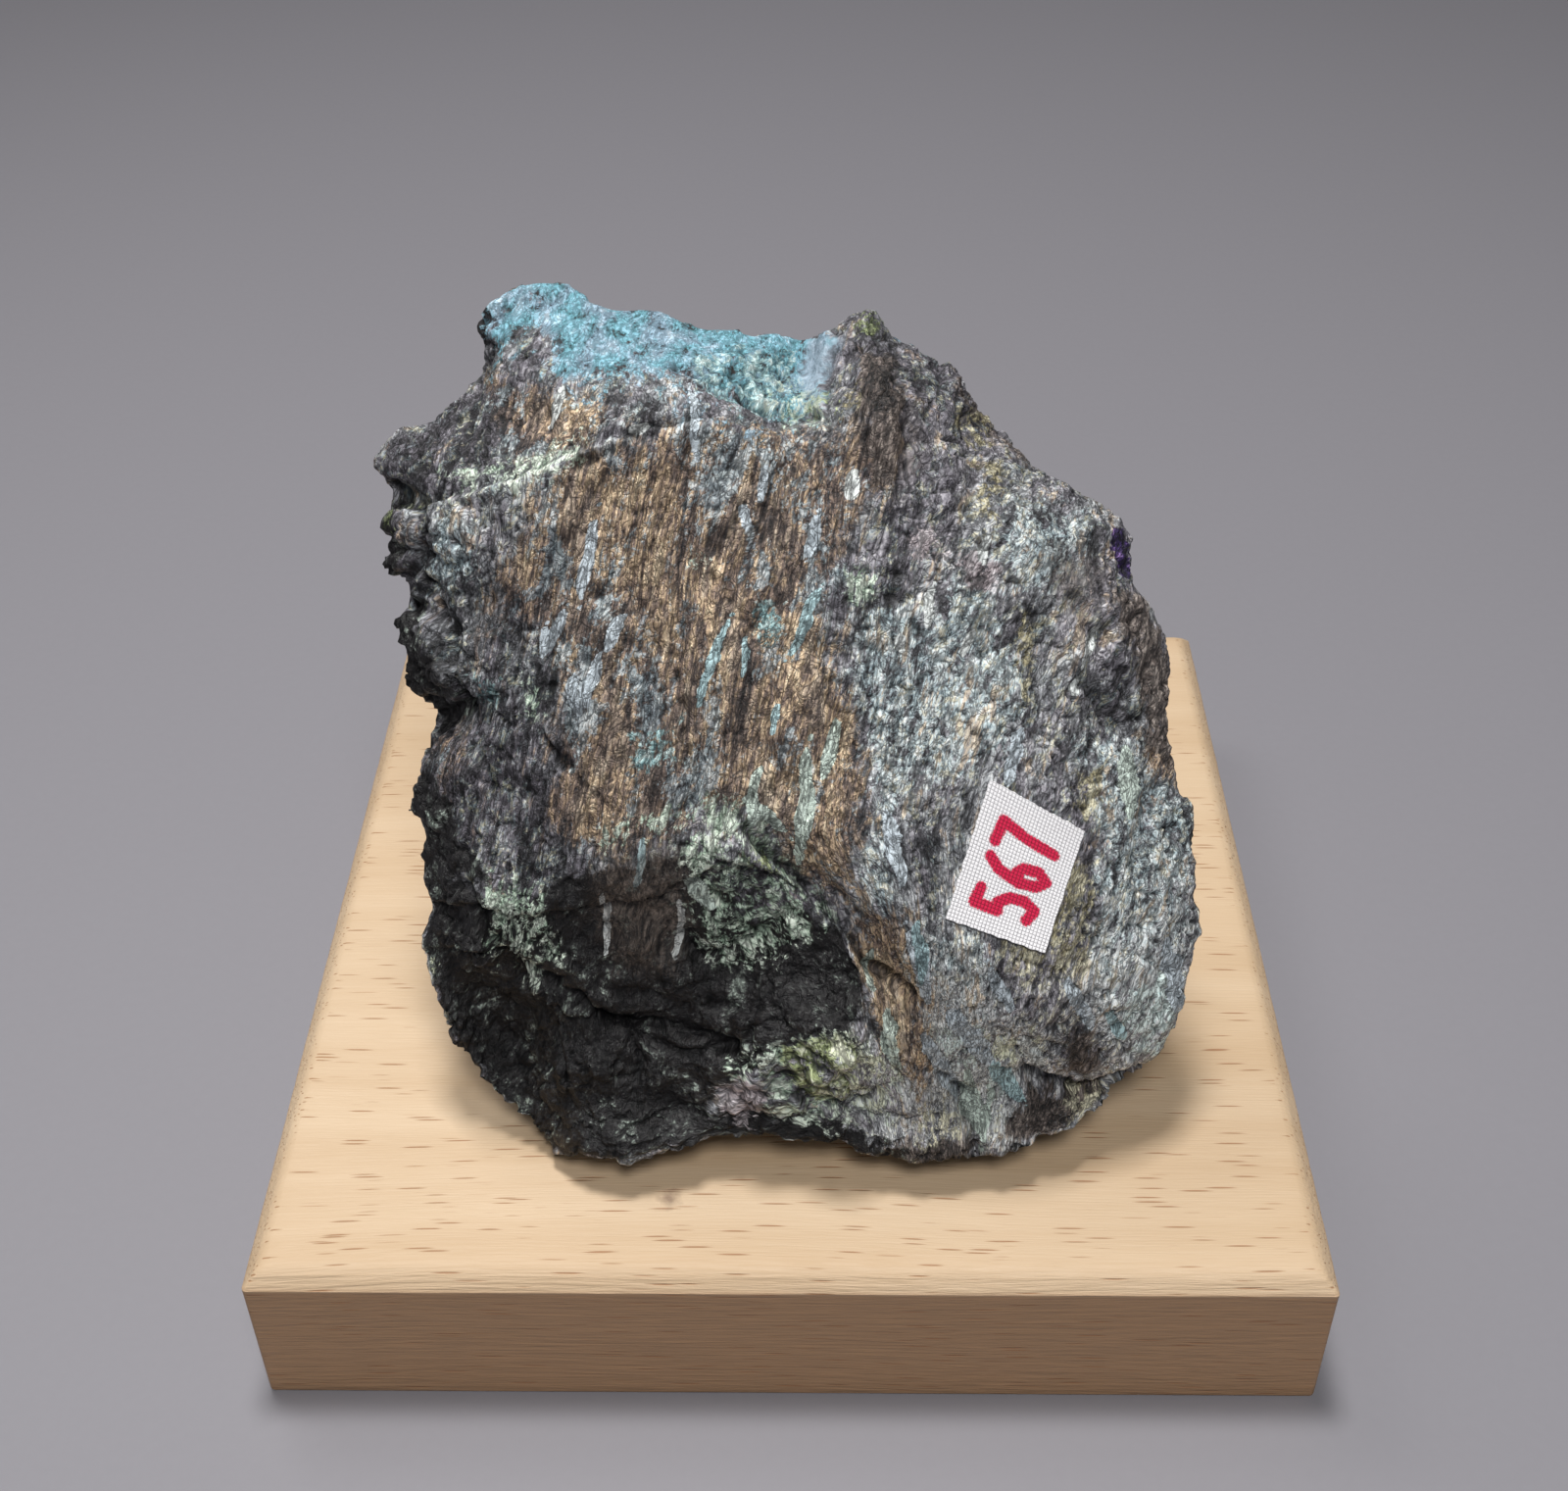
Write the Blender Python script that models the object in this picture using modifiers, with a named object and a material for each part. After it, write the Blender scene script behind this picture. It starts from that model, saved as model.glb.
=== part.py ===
"""A valleriite hand specimen standing on a square wooden display block, with a cut cloth label on it.

World frame: metres, +Z up, +X to the viewer's right, +Y away from the viewer, origin at the centre of
the block's underside. Tables of sizes are in millimetres and are turned into metres by MM.

The stone is shaped in its own face frame: u to the right, v up along its broad fibrous face, and n out
of that face towards the viewer. The face leans back FACE_TILT degrees from the horizontal.
"""

import math

import bmesh
import bpy
import numpy as np
from mathutils import Matrix, Vector, noise

MM = 0.001

# Display block
BLOCK_SIDE = 100.0
BLOCK_HEIGHT = 17.5
BLOCK_CHAMFER = 1.7
BLOCK_CHAMFER_STEPS = 2
TOP_SIDE_EDGES = 4

# Stone: where its face frame stands, and its thickness
FACE_TILT = 60.0
FACE_ORIGIN = (0.0, -35.5, 20.0)
FACE_CENTRE = (0.0, 40.0)
SLAB_DEPTH = 20.0
RESTING_GAP = 0.3
BACK_THICKNESS_LOW = 35.0
BACK_THICKNESS_LOSS = 0.27
WALL_THICKNESS = 7.0
BACK_SHOULDER = 17.0
BACK_TAPER = 0.17
BACK_TAPER_POWER = 1.4
UNTAPERED = (-27.0, 6.0, 9.0)  # behind the hollow: u, v and radius
BACK_LEVELS = (8.0, 13.5, 16.0, 22.5, 26.0, 32.5, 37.0)
BACK_RISER = (0.36, 0.64)
BACK_STEP_SHARE = 0.75
BACK_WAVE = (4.0, 1 / 17)
VOXEL = 0.9
STONE_TRIANGLES = 7800

# Roughness of the stone that the solid carries; finer grain belongs to the finish
SWELL = (0.75, 1 / 11)
FIBRE = (0.40, 1 / 3.2, 1 / 14)
LUMP = (1.5, 1 / 3.6)
CHIP = (0.55, 1 / 4.0)
LEDGE = (1.1, 1 / 16, 1 / 2.6)
LEDGE_REACH = 2.5

# Cloth label: its corners in the face frame, the plane that it lies on, and its gap over the stone
LABEL_CORNERS = ((13.9, 24.6), (22.8, 21.1), (26.3, 31.7), (17.8, 36.6))
LABEL_CENTRE = (20.2, 28.4)
LABEL_LIFT = 10.0
LABEL_SLOPE = (-0.21, -0.10)
LABEL_THICKNESS = 0.30
LABEL_GAP = 0.35
LABEL_CURL = 0.25
LABEL_CELLS = (8, 10)
LABEL_BED = (0.5, 2.8)

# The stone's ragged outline in the face frame, clockwise from the upper left
OUTLINE = (
    (-27.5, 75), (-27.5, 76.5), (-26, 78), (-24, 79.5), (-22, 80), (-19.5, 80), (-16.5, 78),
    (-11.5, 77), (-6.5, 76), (0, 75.5), (2.5, 75), (4, 75.5), (6.5, 77.5), (8, 77.5),
    (9.5, 75.5), (13, 73.5), (14, 73.5), (16.5, 70.5), (17.5, 68), (19, 68), (21, 65),
    (24.5, 62), (28.5, 60), (30, 58.5), (31, 56), (31, 53.5), (33.5, 50), (35, 47),
    (35, 40.5), (35, 38.5), (35.5, 35), (37.5, 31.5), (38.5, 26), (38.5, 23.5), (39, 22.5),
    (38, 19), (38, 16.5), (37.5, 14), (35.5, 8.5), (33.5, 6.5), (31, 5.5), (29, 2.5),
    (26.5, 0), (22, -1.5), (20, -2.5), (15.5, -3), (12, -3.5), (8, -2.5), (2.5, -1),
    (0, 0), (-7, 0), (-8.5, -1.5), (-11.5, -2.2), (-14.5, -2.5), (-19, -2), (-23.5, -1),
    (-25.5, 1.5), (-28.5, 3.5), (-30, 6.5), (-32.5, 12), (-34.5, 16.5), (-35, 18.5), (-33.5, 23),
    (-34, 26.5), (-35, 27.5), (-34, 30), (-36, 31.5), (-34.5, 36), (-33, 40), (-33, 41),
    (-35, 42.5), (-35.5, 46), (-36, 48.5), (-35, 50), (-36, 50.5), (-35, 51.5), (-38, 54),
    (-37.5, 55), (-36, 56.5), (-36, 59.5), (-37.5, 61.5), (-36.2, 62.7), (-38, 64), (-34.5, 67.5),
    (-32.5, 67.5), (-30, 69.8), (-27.5, 71.5),
)

# How far each part of the broad face stands out of the outline's plane: (u, v, height)
FACE_HEIGHTS = {
    "bronze field": (
        (-15, 60, 8), (-9, 63, 8), (0, 62, 8), (-10, 53, 9), (-4, 52, 9), (5, 57, 8.5), (-13, 45, 9.5),
        (-5, 43, 10), (2, 45, 10), (-14, 36, 10), (-7, 35, 10.5), (0, 36, 11), (4, 30, 11.5),
    ),
    "grey right side": (
        (11, 63, 7.5), (13, 53, 8), (11, 45, 9), (19, 60, 6), (22, 53, 6), (20, 43, 8), (26, 56, 3.5),
        (28, 49, 4.5), (31, 44, 2.5), (26, 37, 7), (33, 35, 3), (20, 32, 10), (26, 25, 9), (33, 28, 5),
        (37, 22, 2), (14, 26, 11.5), (17, 19, 11), (24, 16, 9), (31, 19, 6.5), (35, 14, 3), (29, 10, 4),
    ),
    "lower right lip": ((17, 12, 8), (14, 8, 6), (21, 7, 4), (25, 3, 1), (18, 1, 1), (12, -1, 1)),
    "lower middle lump": ((8, 19, 10.5), (9, 13, 9), (5, 10, 9), (1, 13, 9), (2, 7, 7), (-4, 7, 6.5)),
    "black slope under the brow": (
        (-12, 28, 10), (-5, 29, 10.5), (0, 24, 8), (3, 18, 8), (-4, 21, 6.5), (-9, 21, 6.5), (-15, 19, 6),
        (-6, 14, 6), (-14, 11, 4.5), (-9, 7, 5), (-15, 4, 3.5), (-19, 2, 1.5), (-20, 9, 4.5),
    ),
    "hollow at the lower left": ((-28, 14, -1), (-27, 8, -3), (-29, 9, -3), (-32, 18, 1.5), (-32, 11, 0.5)),
    "fold over the hollow": ((-29, 22, 6), (-24, 19, 5.5), (-18, 15, 5.5)),
    "lower left flank": (
        (-30, 26, 5), (-30, 33, 5), (-25, 33, 7), (-21, 29, 8.5), (-31, 38, 4), (-26, 41, 6.5),
        (-18, 30, 9.5),
    ),
    "knobbly left edge": (
        (-34, 54, 3), (-32, 58, 4), (-33, 48, 3), (-32, 44, 4), (-28, 53, 6), (-28, 48, 6.5), (-27, 58, 6.5),
        (-22, 51, 8),
    ),
    "upper left bevel": (
        (-35, 64, 1.5), (-33, 62, 3), (-32, 66, 1.5), (-26, 66, 4.5), (-24, 63, 6.5), (-22, 68, 5),
        (-18, 67, 7), (-27, 69, 2),
    ),
    "turquoise ledge": (
        (-24, 72, 3), (-26, 77, 0.5), (-22, 79, 0), (-21, 74, 3), (-16, 74, 3.5), (-14, 76, 1), (-9, 75, 1),
        (-10, 73, 4), (-14, 70, 6.5), (-5, 74, 1), (-4, 71, 4.5), (-7, 68, 7.5),
    ),
    "notch beside the peak": ((1, 73, -0.5), (1, 70, 3.5), (2, 67, 6.5)),
    "peak": ((7, 76, 1.5), (6, 73, 3.5), (8, 72, 5.5), (12, 72, 3), (13, 68, 5), (15, 70, 2), (8, 67, 7.5)),
}
RIM_EVERY = 2

# Lines on the face: points (u, v), then depth (a groove is negative) and half-width
FACE_LINES = (
    (((-1, 31), (4, 26), (8, 21), (10, 15)), -1.6, 1.3),
    (((-33, 41.5), (-30, 41), (-27.5, 42)), -2.2, 1.0),
    (((-36, 60.5), (-32, 60.5), (-27, 61)), -1.3, 1.0),
    (((1.5, 75), (1.5, 71), (1, 68.5)), -1.4, 1.4),
    (((-19, 47), (-20, 43), (-19, 39), (-17.5, 37)), -1.1, 0.8),
    (((-17, 16), (-11, 14.5), (-8, 13.5)), -1.2, 0.9),
    (((-32, 21), (-27, 18), (-23, 13), (-21, 5)), 1.6, 1.3),
    (((-28, 61.5), (-22, 63.5), (-17, 67), (-8, 68.5), (0, 67.5)), 0.7, 1.4),
    (((6, 76), (7.5, 72), (8, 67), (9, 60)), 0.8, 1.5),
)

# Where the stone is knobbly, (u, v, radius)
KNOBBLY = (
    (-35, 57, 5), (-34, 51, 5), (-33, 45, 4), (-29, 49, 4), (-14, 20, 7), (-4, 20, 6), (-8, 12, 7),
    (-19, 5, 7), (-5, 3, 7), (6, 3, 7), (15, 0, 6), (25, 3, 5), (-26, 18, 5), (2, 11, 5),
)


def stone_to_world():
    """The matrix from the face frame, in millimetres, to the world, in metres."""
    tilt = math.radians(FACE_TILT)
    across = Vector((1, 0, 0))
    up_face = Vector((0, math.cos(tilt), math.sin(tilt)))
    outward = across.cross(up_face)
    turn = Matrix((across, up_face, outward)).transposed().to_4x4()
    return Matrix.Translation(Vector(FACE_ORIGIN) * MM) @ turn @ Matrix.Scale(MM, 4)


def smooth_step(low, high, x):
    t = np.clip((x - low) / (high - low), 0, 1)
    return t * t * (3 - 2 * t)


def line_distance(u, v, points, closed=False):
    """The distance from each (u, v) to a line through the points."""
    ends = list(points[1:]) + ([points[0]] if closed else [])
    nearest = np.full(len(u), np.inf)
    for (u0, v0), (u1, v1) in zip(points, ends):
        du, dv = u1 - u0, v1 - v0
        along = np.clip(((u - u0) * du + (v - v0) * dv) / (du * du + dv * dv), 0, 1)
        nearest = np.minimum(nearest, np.hypot(u - u0 - along * du, v - v0 - along * dv))
    return nearest


def thin_plate(points):
    """A smooth height over (u, v) through points (u, v, height), as a function."""
    sites = np.array(points, float)

    def kernel(u, v):
        r2 = (u[:, None] - sites[:, 0]) ** 2 + (v[:, None] - sites[:, 1]) ** 2
        return r2 * np.log(r2 + 1e-9)

    count = len(sites)
    plane = np.column_stack((np.ones(count), sites[:, 0], sites[:, 1]))
    system = np.block([[kernel(sites[:, 0], sites[:, 1]), plane], [plane.T, np.zeros((3, 3))]])
    weights = np.linalg.solve(system + np.diag([2.0] * count + [0.0] * 3), np.append(sites[:, 2], [0, 0, 0]))

    def height(u, v):
        flat = weights[count] + u * weights[count + 1] + v * weights[count + 2]
        return flat + kernel(u, v) @ weights[:count]

    return height


def noise_field(points, scale, seed):
    """Perlin noise at points stretched by scale, which is one number or one for each axis."""
    stretched = points * np.array(scale) + seed
    return np.array([noise.noise(p) for p in stretched])


def lump_field(points, scale, seed):
    """Rounded lumps, 1 at the middle of each and 0 between them."""
    stretched = points * scale + seed
    near = np.array([noise.voronoi(p)[0][0] for p in stretched])
    return np.clip(1 - near ** 2 * 2.2, 0, 1)


def label_plane(u, v):
    """The height of the flat patch of stone under the label."""
    return LABEL_LIFT + (u - LABEL_CENTRE[0]) * LABEL_SLOPE[0] + (v - LABEL_CENTRE[1]) * LABEL_SLOPE[1]


def label_bed(u, v):
    """1 under the label, falling to 0 a few millimetres outside it."""
    inside = np.ones(len(u), bool)
    for (u0, v0), (u1, v1) in zip(LABEL_CORNERS, LABEL_CORNERS[1:] + LABEL_CORNERS[:1]):
        inside &= (u1 - u0) * (v - v0) - (v1 - v0) * (u - u0) > 0
    outside_by = np.where(inside, 0, line_distance(u, v, LABEL_CORNERS, closed=True))
    return 1 - smooth_step(*LABEL_BED, outside_by)


def knobbliness(u, v):
    amount = np.zeros(len(u))
    for centre_u, centre_v, radius in KNOBBLY:
        away = np.hypot(u - centre_u, v - centre_v)
        amount = np.maximum(amount, 1 - smooth_step(0.5 * radius, 1.5 * radius, away))
    return amount


def face_height(u, v):
    """How far the broad face stands out at (u, v), with its grooves and ridges."""
    points = [p for group in FACE_HEIGHTS.values() for p in group]
    points += [(a, b, 0.0) for a, b in OUTLINE[::RIM_EVERY]]
    height = thin_plate(points)(u, v)
    for line, depth, half_width in FACE_LINES:
        height = height + depth * np.exp(-(line_distance(u, v, line) / half_width) ** 2)
    bed = label_bed(u, v)
    return height * (1 - bed) + label_plane(u, v) * bed


def back_height(u, v, from_edge):
    """How far the broken back stands behind the outline's plane: thick below, thin above, in steps."""
    full = BACK_THICKNESS_LOW - BACK_THICKNESS_LOSS * v
    rise = np.sin(0.5 * math.pi * np.clip(from_edge / BACK_SHOULDER, 0, 1))
    sheet = np.column_stack((u, v, np.zeros(len(u))))
    thickness = WALL_THICKNESS + (full - WALL_THICKNESS) * rise
    thickness += BACK_WAVE[0] * noise_field(sheet, BACK_WAVE[1], 31)
    stepped = np.full(len(u), BACK_LEVELS[0])
    for low, high in zip(BACK_LEVELS, BACK_LEVELS[1:]):
        climb = (thickness - low) / (high - low)
        stepped += (high - low) * smooth_step(*BACK_RISER, climb)
    return -(thickness + (stepped - thickness) * BACK_STEP_SHARE)


def sculpt(mesh):
    """Turns the plain slab into the stone: face, back and broken walls."""
    co = np.empty(len(mesh.vertices) * 3, np.float32)
    mesh.vertices.foreach_get("co", co)
    co = co.reshape(-1, 3).astype(float)
    u, v = co[:, 0], co[:, 1]
    front_share = np.clip(co[:, 2] / SLAB_DEPTH + 0.5, 0, 1)
    from_edge = line_distance(u, v, OUTLINE, closed=True)
    front = face_height(u, v)
    back = back_height(u, v, from_edge)
    n = back + (front - back) * front_share

    # The back is smaller than the face, and the walls between break along the layers
    full_u, full_v, reach = UNTAPERED
    taper = BACK_TAPER * (1 - np.exp(-((u - full_u) ** 2 + (v - full_v) ** 2) / reach**2))
    shrink = 1 - taper * (1 - front_share) ** BACK_TAPER_POWER
    wall = np.exp(-from_edge / LEDGE_REACH) * (1 - smooth_step(0.80, 1.0, front_share))
    angle = np.arctan2(v - FACE_CENTRE[1], u - FACE_CENTRE[0])
    ring = np.column_stack((40 * np.cos(angle), 40 * np.sin(angle), n))
    ledge = LEDGE[0] * wall * noise_field(ring, (LEDGE[1], LEDGE[1], LEDGE[2]), 7)
    u = FACE_CENTRE[0] + (u - FACE_CENTRE[0]) * shrink + ledge * np.cos(angle)
    v = FACE_CENTRE[1] + (v - FACE_CENTRE[1]) * shrink + ledge * np.sin(angle)
    points = np.column_stack((u, v, n))
    mesh.vertices.foreach_set("co", points.ravel())
    mesh.update()
    roughen(mesh, points)


def roughen(mesh, points):
    """Pushes the surface in and out along its normals: swells, fibres, knobs and chips."""
    normals = np.empty(len(mesh.vertices) * 3, np.float32)
    mesh.vertex_normals.foreach_get("vector", normals)
    normals = normals.reshape(-1, 3)
    u, v = points[:, 0], points[:, 1]
    knobs = knobbliness(u, v)
    behind = 1 - smooth_step(-0.4, 0.3, normals[:, 2])
    quiet = label_bed(u, v) * smooth_step(0.0, 0.5, normals[:, 2])
    push = SWELL[0] * noise_field(points, SWELL[1], 3)
    push += FIBRE[0] * (1 - knobs) * noise_field(points, (FIBRE[1], FIBRE[2], FIBRE[1]), 17)
    push += LUMP[0] * knobs * (lump_field(points, LUMP[1], 11) - 0.5)
    push += CHIP[0] * (0.5 + behind) * noise_field(points, CHIP[1], 23)
    moved = points + normals * (push * (1 - quiet))[:, None]
    mesh.vertices.foreach_set("co", moved.ravel())
    mesh.update()


def material(name, colour, roughness, metallic=0.0):
    made = bpy.data.materials.new(name)
    made.use_nodes = True
    shader = made.node_tree.nodes["Principled BSDF"]
    shader.inputs["Base Color"].default_value = (*colour, 1)
    shader.inputs["Roughness"].default_value = roughness
    shader.inputs["Metallic"].default_value = metallic
    made.diffuse_color = (*colour, 1)
    return made


def add_object(name, mesh, collection, finish=None):
    obj = bpy.data.objects.new(name, mesh)
    collection.objects.link(obj)
    if finish:
        mesh.materials.append(finish)
    return obj


def evaluated_mesh(obj):
    """A plain mesh of the object with its modifiers applied."""
    graph = bpy.context.evaluated_depsgraph_get()
    return bpy.data.meshes.new_from_object(obj.evaluated_get(graph))


def display_block(parts, finish):
    """The square block, its four upper edges planed off."""
    bm = bmesh.new()
    size = Matrix.Diagonal((BLOCK_SIDE * MM, BLOCK_SIDE * MM, BLOCK_HEIGHT * MM, 1))
    place = Matrix.Translation((0, 0, BLOCK_HEIGHT * MM / 2)) @ size
    bmesh.ops.create_cube(bm, size=1, matrix=place)
    top = [e for e in bm.edges if all(x.co.z > BLOCK_HEIGHT * MM / 2 for x in e.verts)]
    assert len(top) == TOP_SIDE_EDGES
    bmesh.ops.bevel(
        bm, geom=top, offset=BLOCK_CHAMFER * MM, segments=BLOCK_CHAMFER_STEPS, profile=0.5, affect="EDGES"
    )
    mesh = bpy.data.meshes.new("display_block")
    bm.to_mesh(mesh)
    bm.free()
    return add_object("display_block", mesh, parts, finish)


def plain_slab(parts):
    """A flat slab with the stone's outline, made of even voxels so that it can be sculpted."""
    curve = bpy.data.curves.new("slab_outline", "CURVE")
    curve.dimensions = "2D"
    curve.fill_mode = "BOTH"
    curve.extrude = SLAB_DEPTH / 2
    spline = curve.splines.new("POLY")
    spline.points.add(len(OUTLINE) - 1)
    for point, (u, v) in zip(spline.points, OUTLINE):
        point.co = (u, v, 0, 1)
    spline.use_cyclic_u = True
    outline = add_object("slab_outline", curve, parts)
    mesh = evaluated_mesh(outline)
    bpy.data.objects.remove(outline)
    bm = bmesh.new()
    bm.from_mesh(mesh)
    bmesh.ops.remove_doubles(bm, verts=bm.verts, dist=0.001)
    bm.to_mesh(mesh)
    bm.free()
    slab = add_object("slab", mesh, parts)
    remesh = slab.modifiers.new("even_voxels", "REMESH")
    remesh.mode = "VOXEL"
    remesh.voxel_size = VOXEL
    fine = evaluated_mesh(slab)
    bpy.data.objects.remove(slab)
    return fine


def resting_cutter(cutters):
    """Everything below the stone's resting plane."""
    bm = bmesh.new()
    below = BLOCK_HEIGHT + RESTING_GAP
    size = Matrix.Diagonal((2 * BLOCK_SIDE * MM, 2 * BLOCK_SIDE * MM, 2 * below * MM, 1))
    bmesh.ops.create_cube(bm, size=1, matrix=size)
    mesh = bpy.data.meshes.new("resting_cutter")
    bm.to_mesh(mesh)
    bm.free()
    cutter = add_object("resting_cutter", mesh, cutters)
    cutter.hide_render = True
    cutter.display_type = "WIRE"
    return cutter


def stone(parts, cutters, finish):
    """The stone, cut flat where it rests on the block."""
    mesh = plain_slab(parts)
    sculpt(mesh)
    mesh.name = "valleriite_specimen"
    mesh.transform(stone_to_world())
    mesh.materials.clear()
    obj = add_object("valleriite_specimen", mesh, parts, finish)
    fewer = obj.modifiers.new("fewer_facets", "DECIMATE")
    fewer.ratio = STONE_TRIANGLES / (2 * len(mesh.polygons))
    fewer.use_collapse_triangulate = True
    rest = obj.modifiers.new("resting_cut", "BOOLEAN")
    rest.operation = "DIFFERENCE"
    rest.object = resting_cutter(cutters)
    return obj


def cloth_label(parts, finish):
    """The cut piece of woven tape: four unequal sides, on the stone, curling a little at its ends."""
    bm = bmesh.new()
    bmesh.ops.create_grid(bm, x_segments=LABEL_CELLS[0], y_segments=LABEL_CELLS[1], size=1)
    low_left, low_right, high_right, high_left = (Vector(c) for c in LABEL_CORNERS)
    for vertex in bm.verts:
        across, up = (vertex.co.x + 1) / 2, (vertex.co.y + 1) / 2
        flat = low_left.lerp(low_right, across).lerp(high_left.lerp(high_right, across), up)
        curl = LABEL_CURL * vertex.co.y**4
        vertex.co = (flat.x, flat.y, label_plane(flat.x, flat.y) + LABEL_GAP + curl)
    bmesh.ops.recalc_face_normals(bm, faces=bm.faces)
    mesh = bpy.data.meshes.new("cloth_label")
    bm.to_mesh(mesh)
    bm.free()
    mesh.transform(stone_to_world())
    obj = add_object("cloth_label", mesh, parts, finish)
    thick = obj.modifiers.new("tape_thickness", "SOLIDIFY")
    thick.thickness = LABEL_THICKNESS * MM
    thick.offset = 1
    return obj


def clear_scene():
    for obj in list(bpy.data.objects):
        bpy.data.objects.remove(obj)


def main():
    clear_scene()
    parts = bpy.data.collections.new("valleriite_on_block")
    cutters = bpy.data.collections.new("cutters")
    for collection in (parts, cutters):
        bpy.context.scene.collection.children.link(collection)
    display_block(parts, material("pale_wood", (0.80, 0.62, 0.42), 0.6))
    stone(parts, cutters, material("valleriite_rock", (0.12, 0.105, 0.095), 0.45, 0.25))
    cloth_label(parts, material("white_tape", (0.86, 0.85, 0.84), 0.8))


main()
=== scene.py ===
"""Dresses the valleriite specimen on its display block: fine relief, finishes, lights and camera.

Sizes are in millimetres unless a name or comment says otherwise, and MM turns them into metres. The stone's
face frame is the construction's own: u to the right, v up its broad face, n out of it towards the viewer.
Places on the stone are pixels of the 1600 x 1521 photograph, read off it, and the camera fitted to the
block's edges puts them on the stone.
"""

import math

import bmesh
import bpy
import numpy as np
from mathutils import Matrix, Vector


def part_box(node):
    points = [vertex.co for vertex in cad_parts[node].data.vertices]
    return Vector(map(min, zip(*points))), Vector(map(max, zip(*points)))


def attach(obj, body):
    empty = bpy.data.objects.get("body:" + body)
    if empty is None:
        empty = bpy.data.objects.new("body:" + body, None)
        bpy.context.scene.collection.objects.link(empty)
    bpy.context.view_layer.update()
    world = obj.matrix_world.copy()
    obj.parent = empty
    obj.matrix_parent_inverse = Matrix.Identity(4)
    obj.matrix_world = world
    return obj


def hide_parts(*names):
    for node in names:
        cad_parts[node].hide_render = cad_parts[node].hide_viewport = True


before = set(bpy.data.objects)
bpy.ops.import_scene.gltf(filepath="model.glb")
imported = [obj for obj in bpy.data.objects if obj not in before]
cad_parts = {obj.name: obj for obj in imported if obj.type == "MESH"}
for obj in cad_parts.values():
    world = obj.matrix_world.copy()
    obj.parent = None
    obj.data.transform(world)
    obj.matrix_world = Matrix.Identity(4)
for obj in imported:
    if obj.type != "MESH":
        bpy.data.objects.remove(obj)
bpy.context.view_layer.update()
MM = 0.001

# The camera, fitted to the block's edges in the photograph
IMAGE_SIZE = (1600, 1521)
CAMERA_PLACE = (3.24, -162.51, 172.59)
CAMERA_TURNS = (-1.417, 39.346, -0.917)     # yaw, pitch and roll in degrees
FOCAL_LENGTH_PX = 2092.7
SENSOR_WIDTH = 36.0

# The stone's face frame and resting height, as in its construction
FACE_TILT = 60.0    # degrees
FACE_ORIGIN = (0.0, -35.5, 20.0)
REST_HEIGHT = 17.8

# The stone's mesh
COARSE_VOXEL = 0.72
SMOOTHING_ROUNDS = 4
FINE_ROUNDS = 2
SMOOTHING_WEIGHTS = (0.55, -0.50)   # towards the neighbours' mean, then back from it
FRONT_FACING = 0.05                 # faces that look to the front by this cosine are split once more
RIM_LIFT = 3.6                      # the front rim stands this far above the block
RIM_REACH = 9.0                     # the height over which the lift fades
RIM_FRONT = (22, 33)                # how far in front of the block's middle the lift sets in
RIM_COLUMNS = (555, 600)            # the photograph's pixel columns where it sets in
PLAY = 0.05                         # how far the stone may pass its resting height and the label's plane

# Cosines between which the stone turns from hidden to shown, from its back to its front, and to label bed
SHOWN_TURN = (-0.25, 0.15)
FRONT_TURN = (-0.35, 0.25)
BED_TURN = (0.2, 0.6)
BED_EDGE = (0.3, 1.6)               # the flat bed fades out between these distances from the label

# The stone's relief: how far each form stands out or is cut in, and how large lumps and layers are
FIBRE_HEIGHT = 0.20
STRAND_HEIGHT = 0.13
SPLINTER_HEIGHT = 0.34
FIBRE_CRACK_DEPTH = 0.40
LUMP_SIZE = 2.4
SMALL_LUMP_SIZE = 1.05
SMALL_LUMP_HEIGHT = 0.36
MOTTLE_HEIGHT = 0.28
CRAZE_DEPTH = 0.45
CRINKLE_HEIGHT = 0.9
UNEVENNESS = 0.42
STRATUM_THICKNESS = 1.5
STRATUM_HEIGHT = 0.55
BACK_ROUGHNESS = 0.45
LEVEL_ROUNDS = 6        # rounds of smoothing that leave only the ground under the small forms
RAISED_GAIN = 1.6       # how fast the raised share grows with a form's height
FAR = 9.0               # where a search for the nearest starts: farther than any distance that counts

# The label's corners in the face frame, its plane, and its cloth
LABEL_CORNERS = ((13.9, 24.6), (22.8, 21.1), (26.3, 31.7), (17.8, 36.6))
LABEL_CENTRE = (20.2, 28.4)
LABEL_LIFT = 10.0
LABEL_SLOPE = (-0.21, -0.10)
LABEL_GAP = 0.28
LABEL_THICKNESS = 0.22
LABEL_CELLS = (112, 136)
THREAD_PITCH = 0.33
THREAD_HEIGHT = 0.035
TAPE_WAVE = 0.10
TAPE_CURL = 0.18
FRAY = 0.022                    # a share of the distance from the label's middle
INK_HALF_WIDTH = 0.55

# The block's planed edges
CHAMFER = 1.7
PLANED_EDGE = (     # inset from the side and drop from the top
    (0.0, 1.7), (0.34, 1.30), (0.72, 0.90), (1.10, 0.54), (1.45, 0.26), (1.80, 0.08), (2.2, 0.0),
    (3.4, 0.0),
)
HALF_SIDE = 50.0
SIDE_WAVE = 0.006       # the share of the unevenness that the sides take
EDGE_WAVE = 0.05        # the most by which the planed edge stands out
CORNER_RADIUS = 0.45
FOOT_RADIUS = 0.3
BLOCK_SIDE_POINTS = 90
KNOT_SEEN_AT = (683, 1222)

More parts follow.
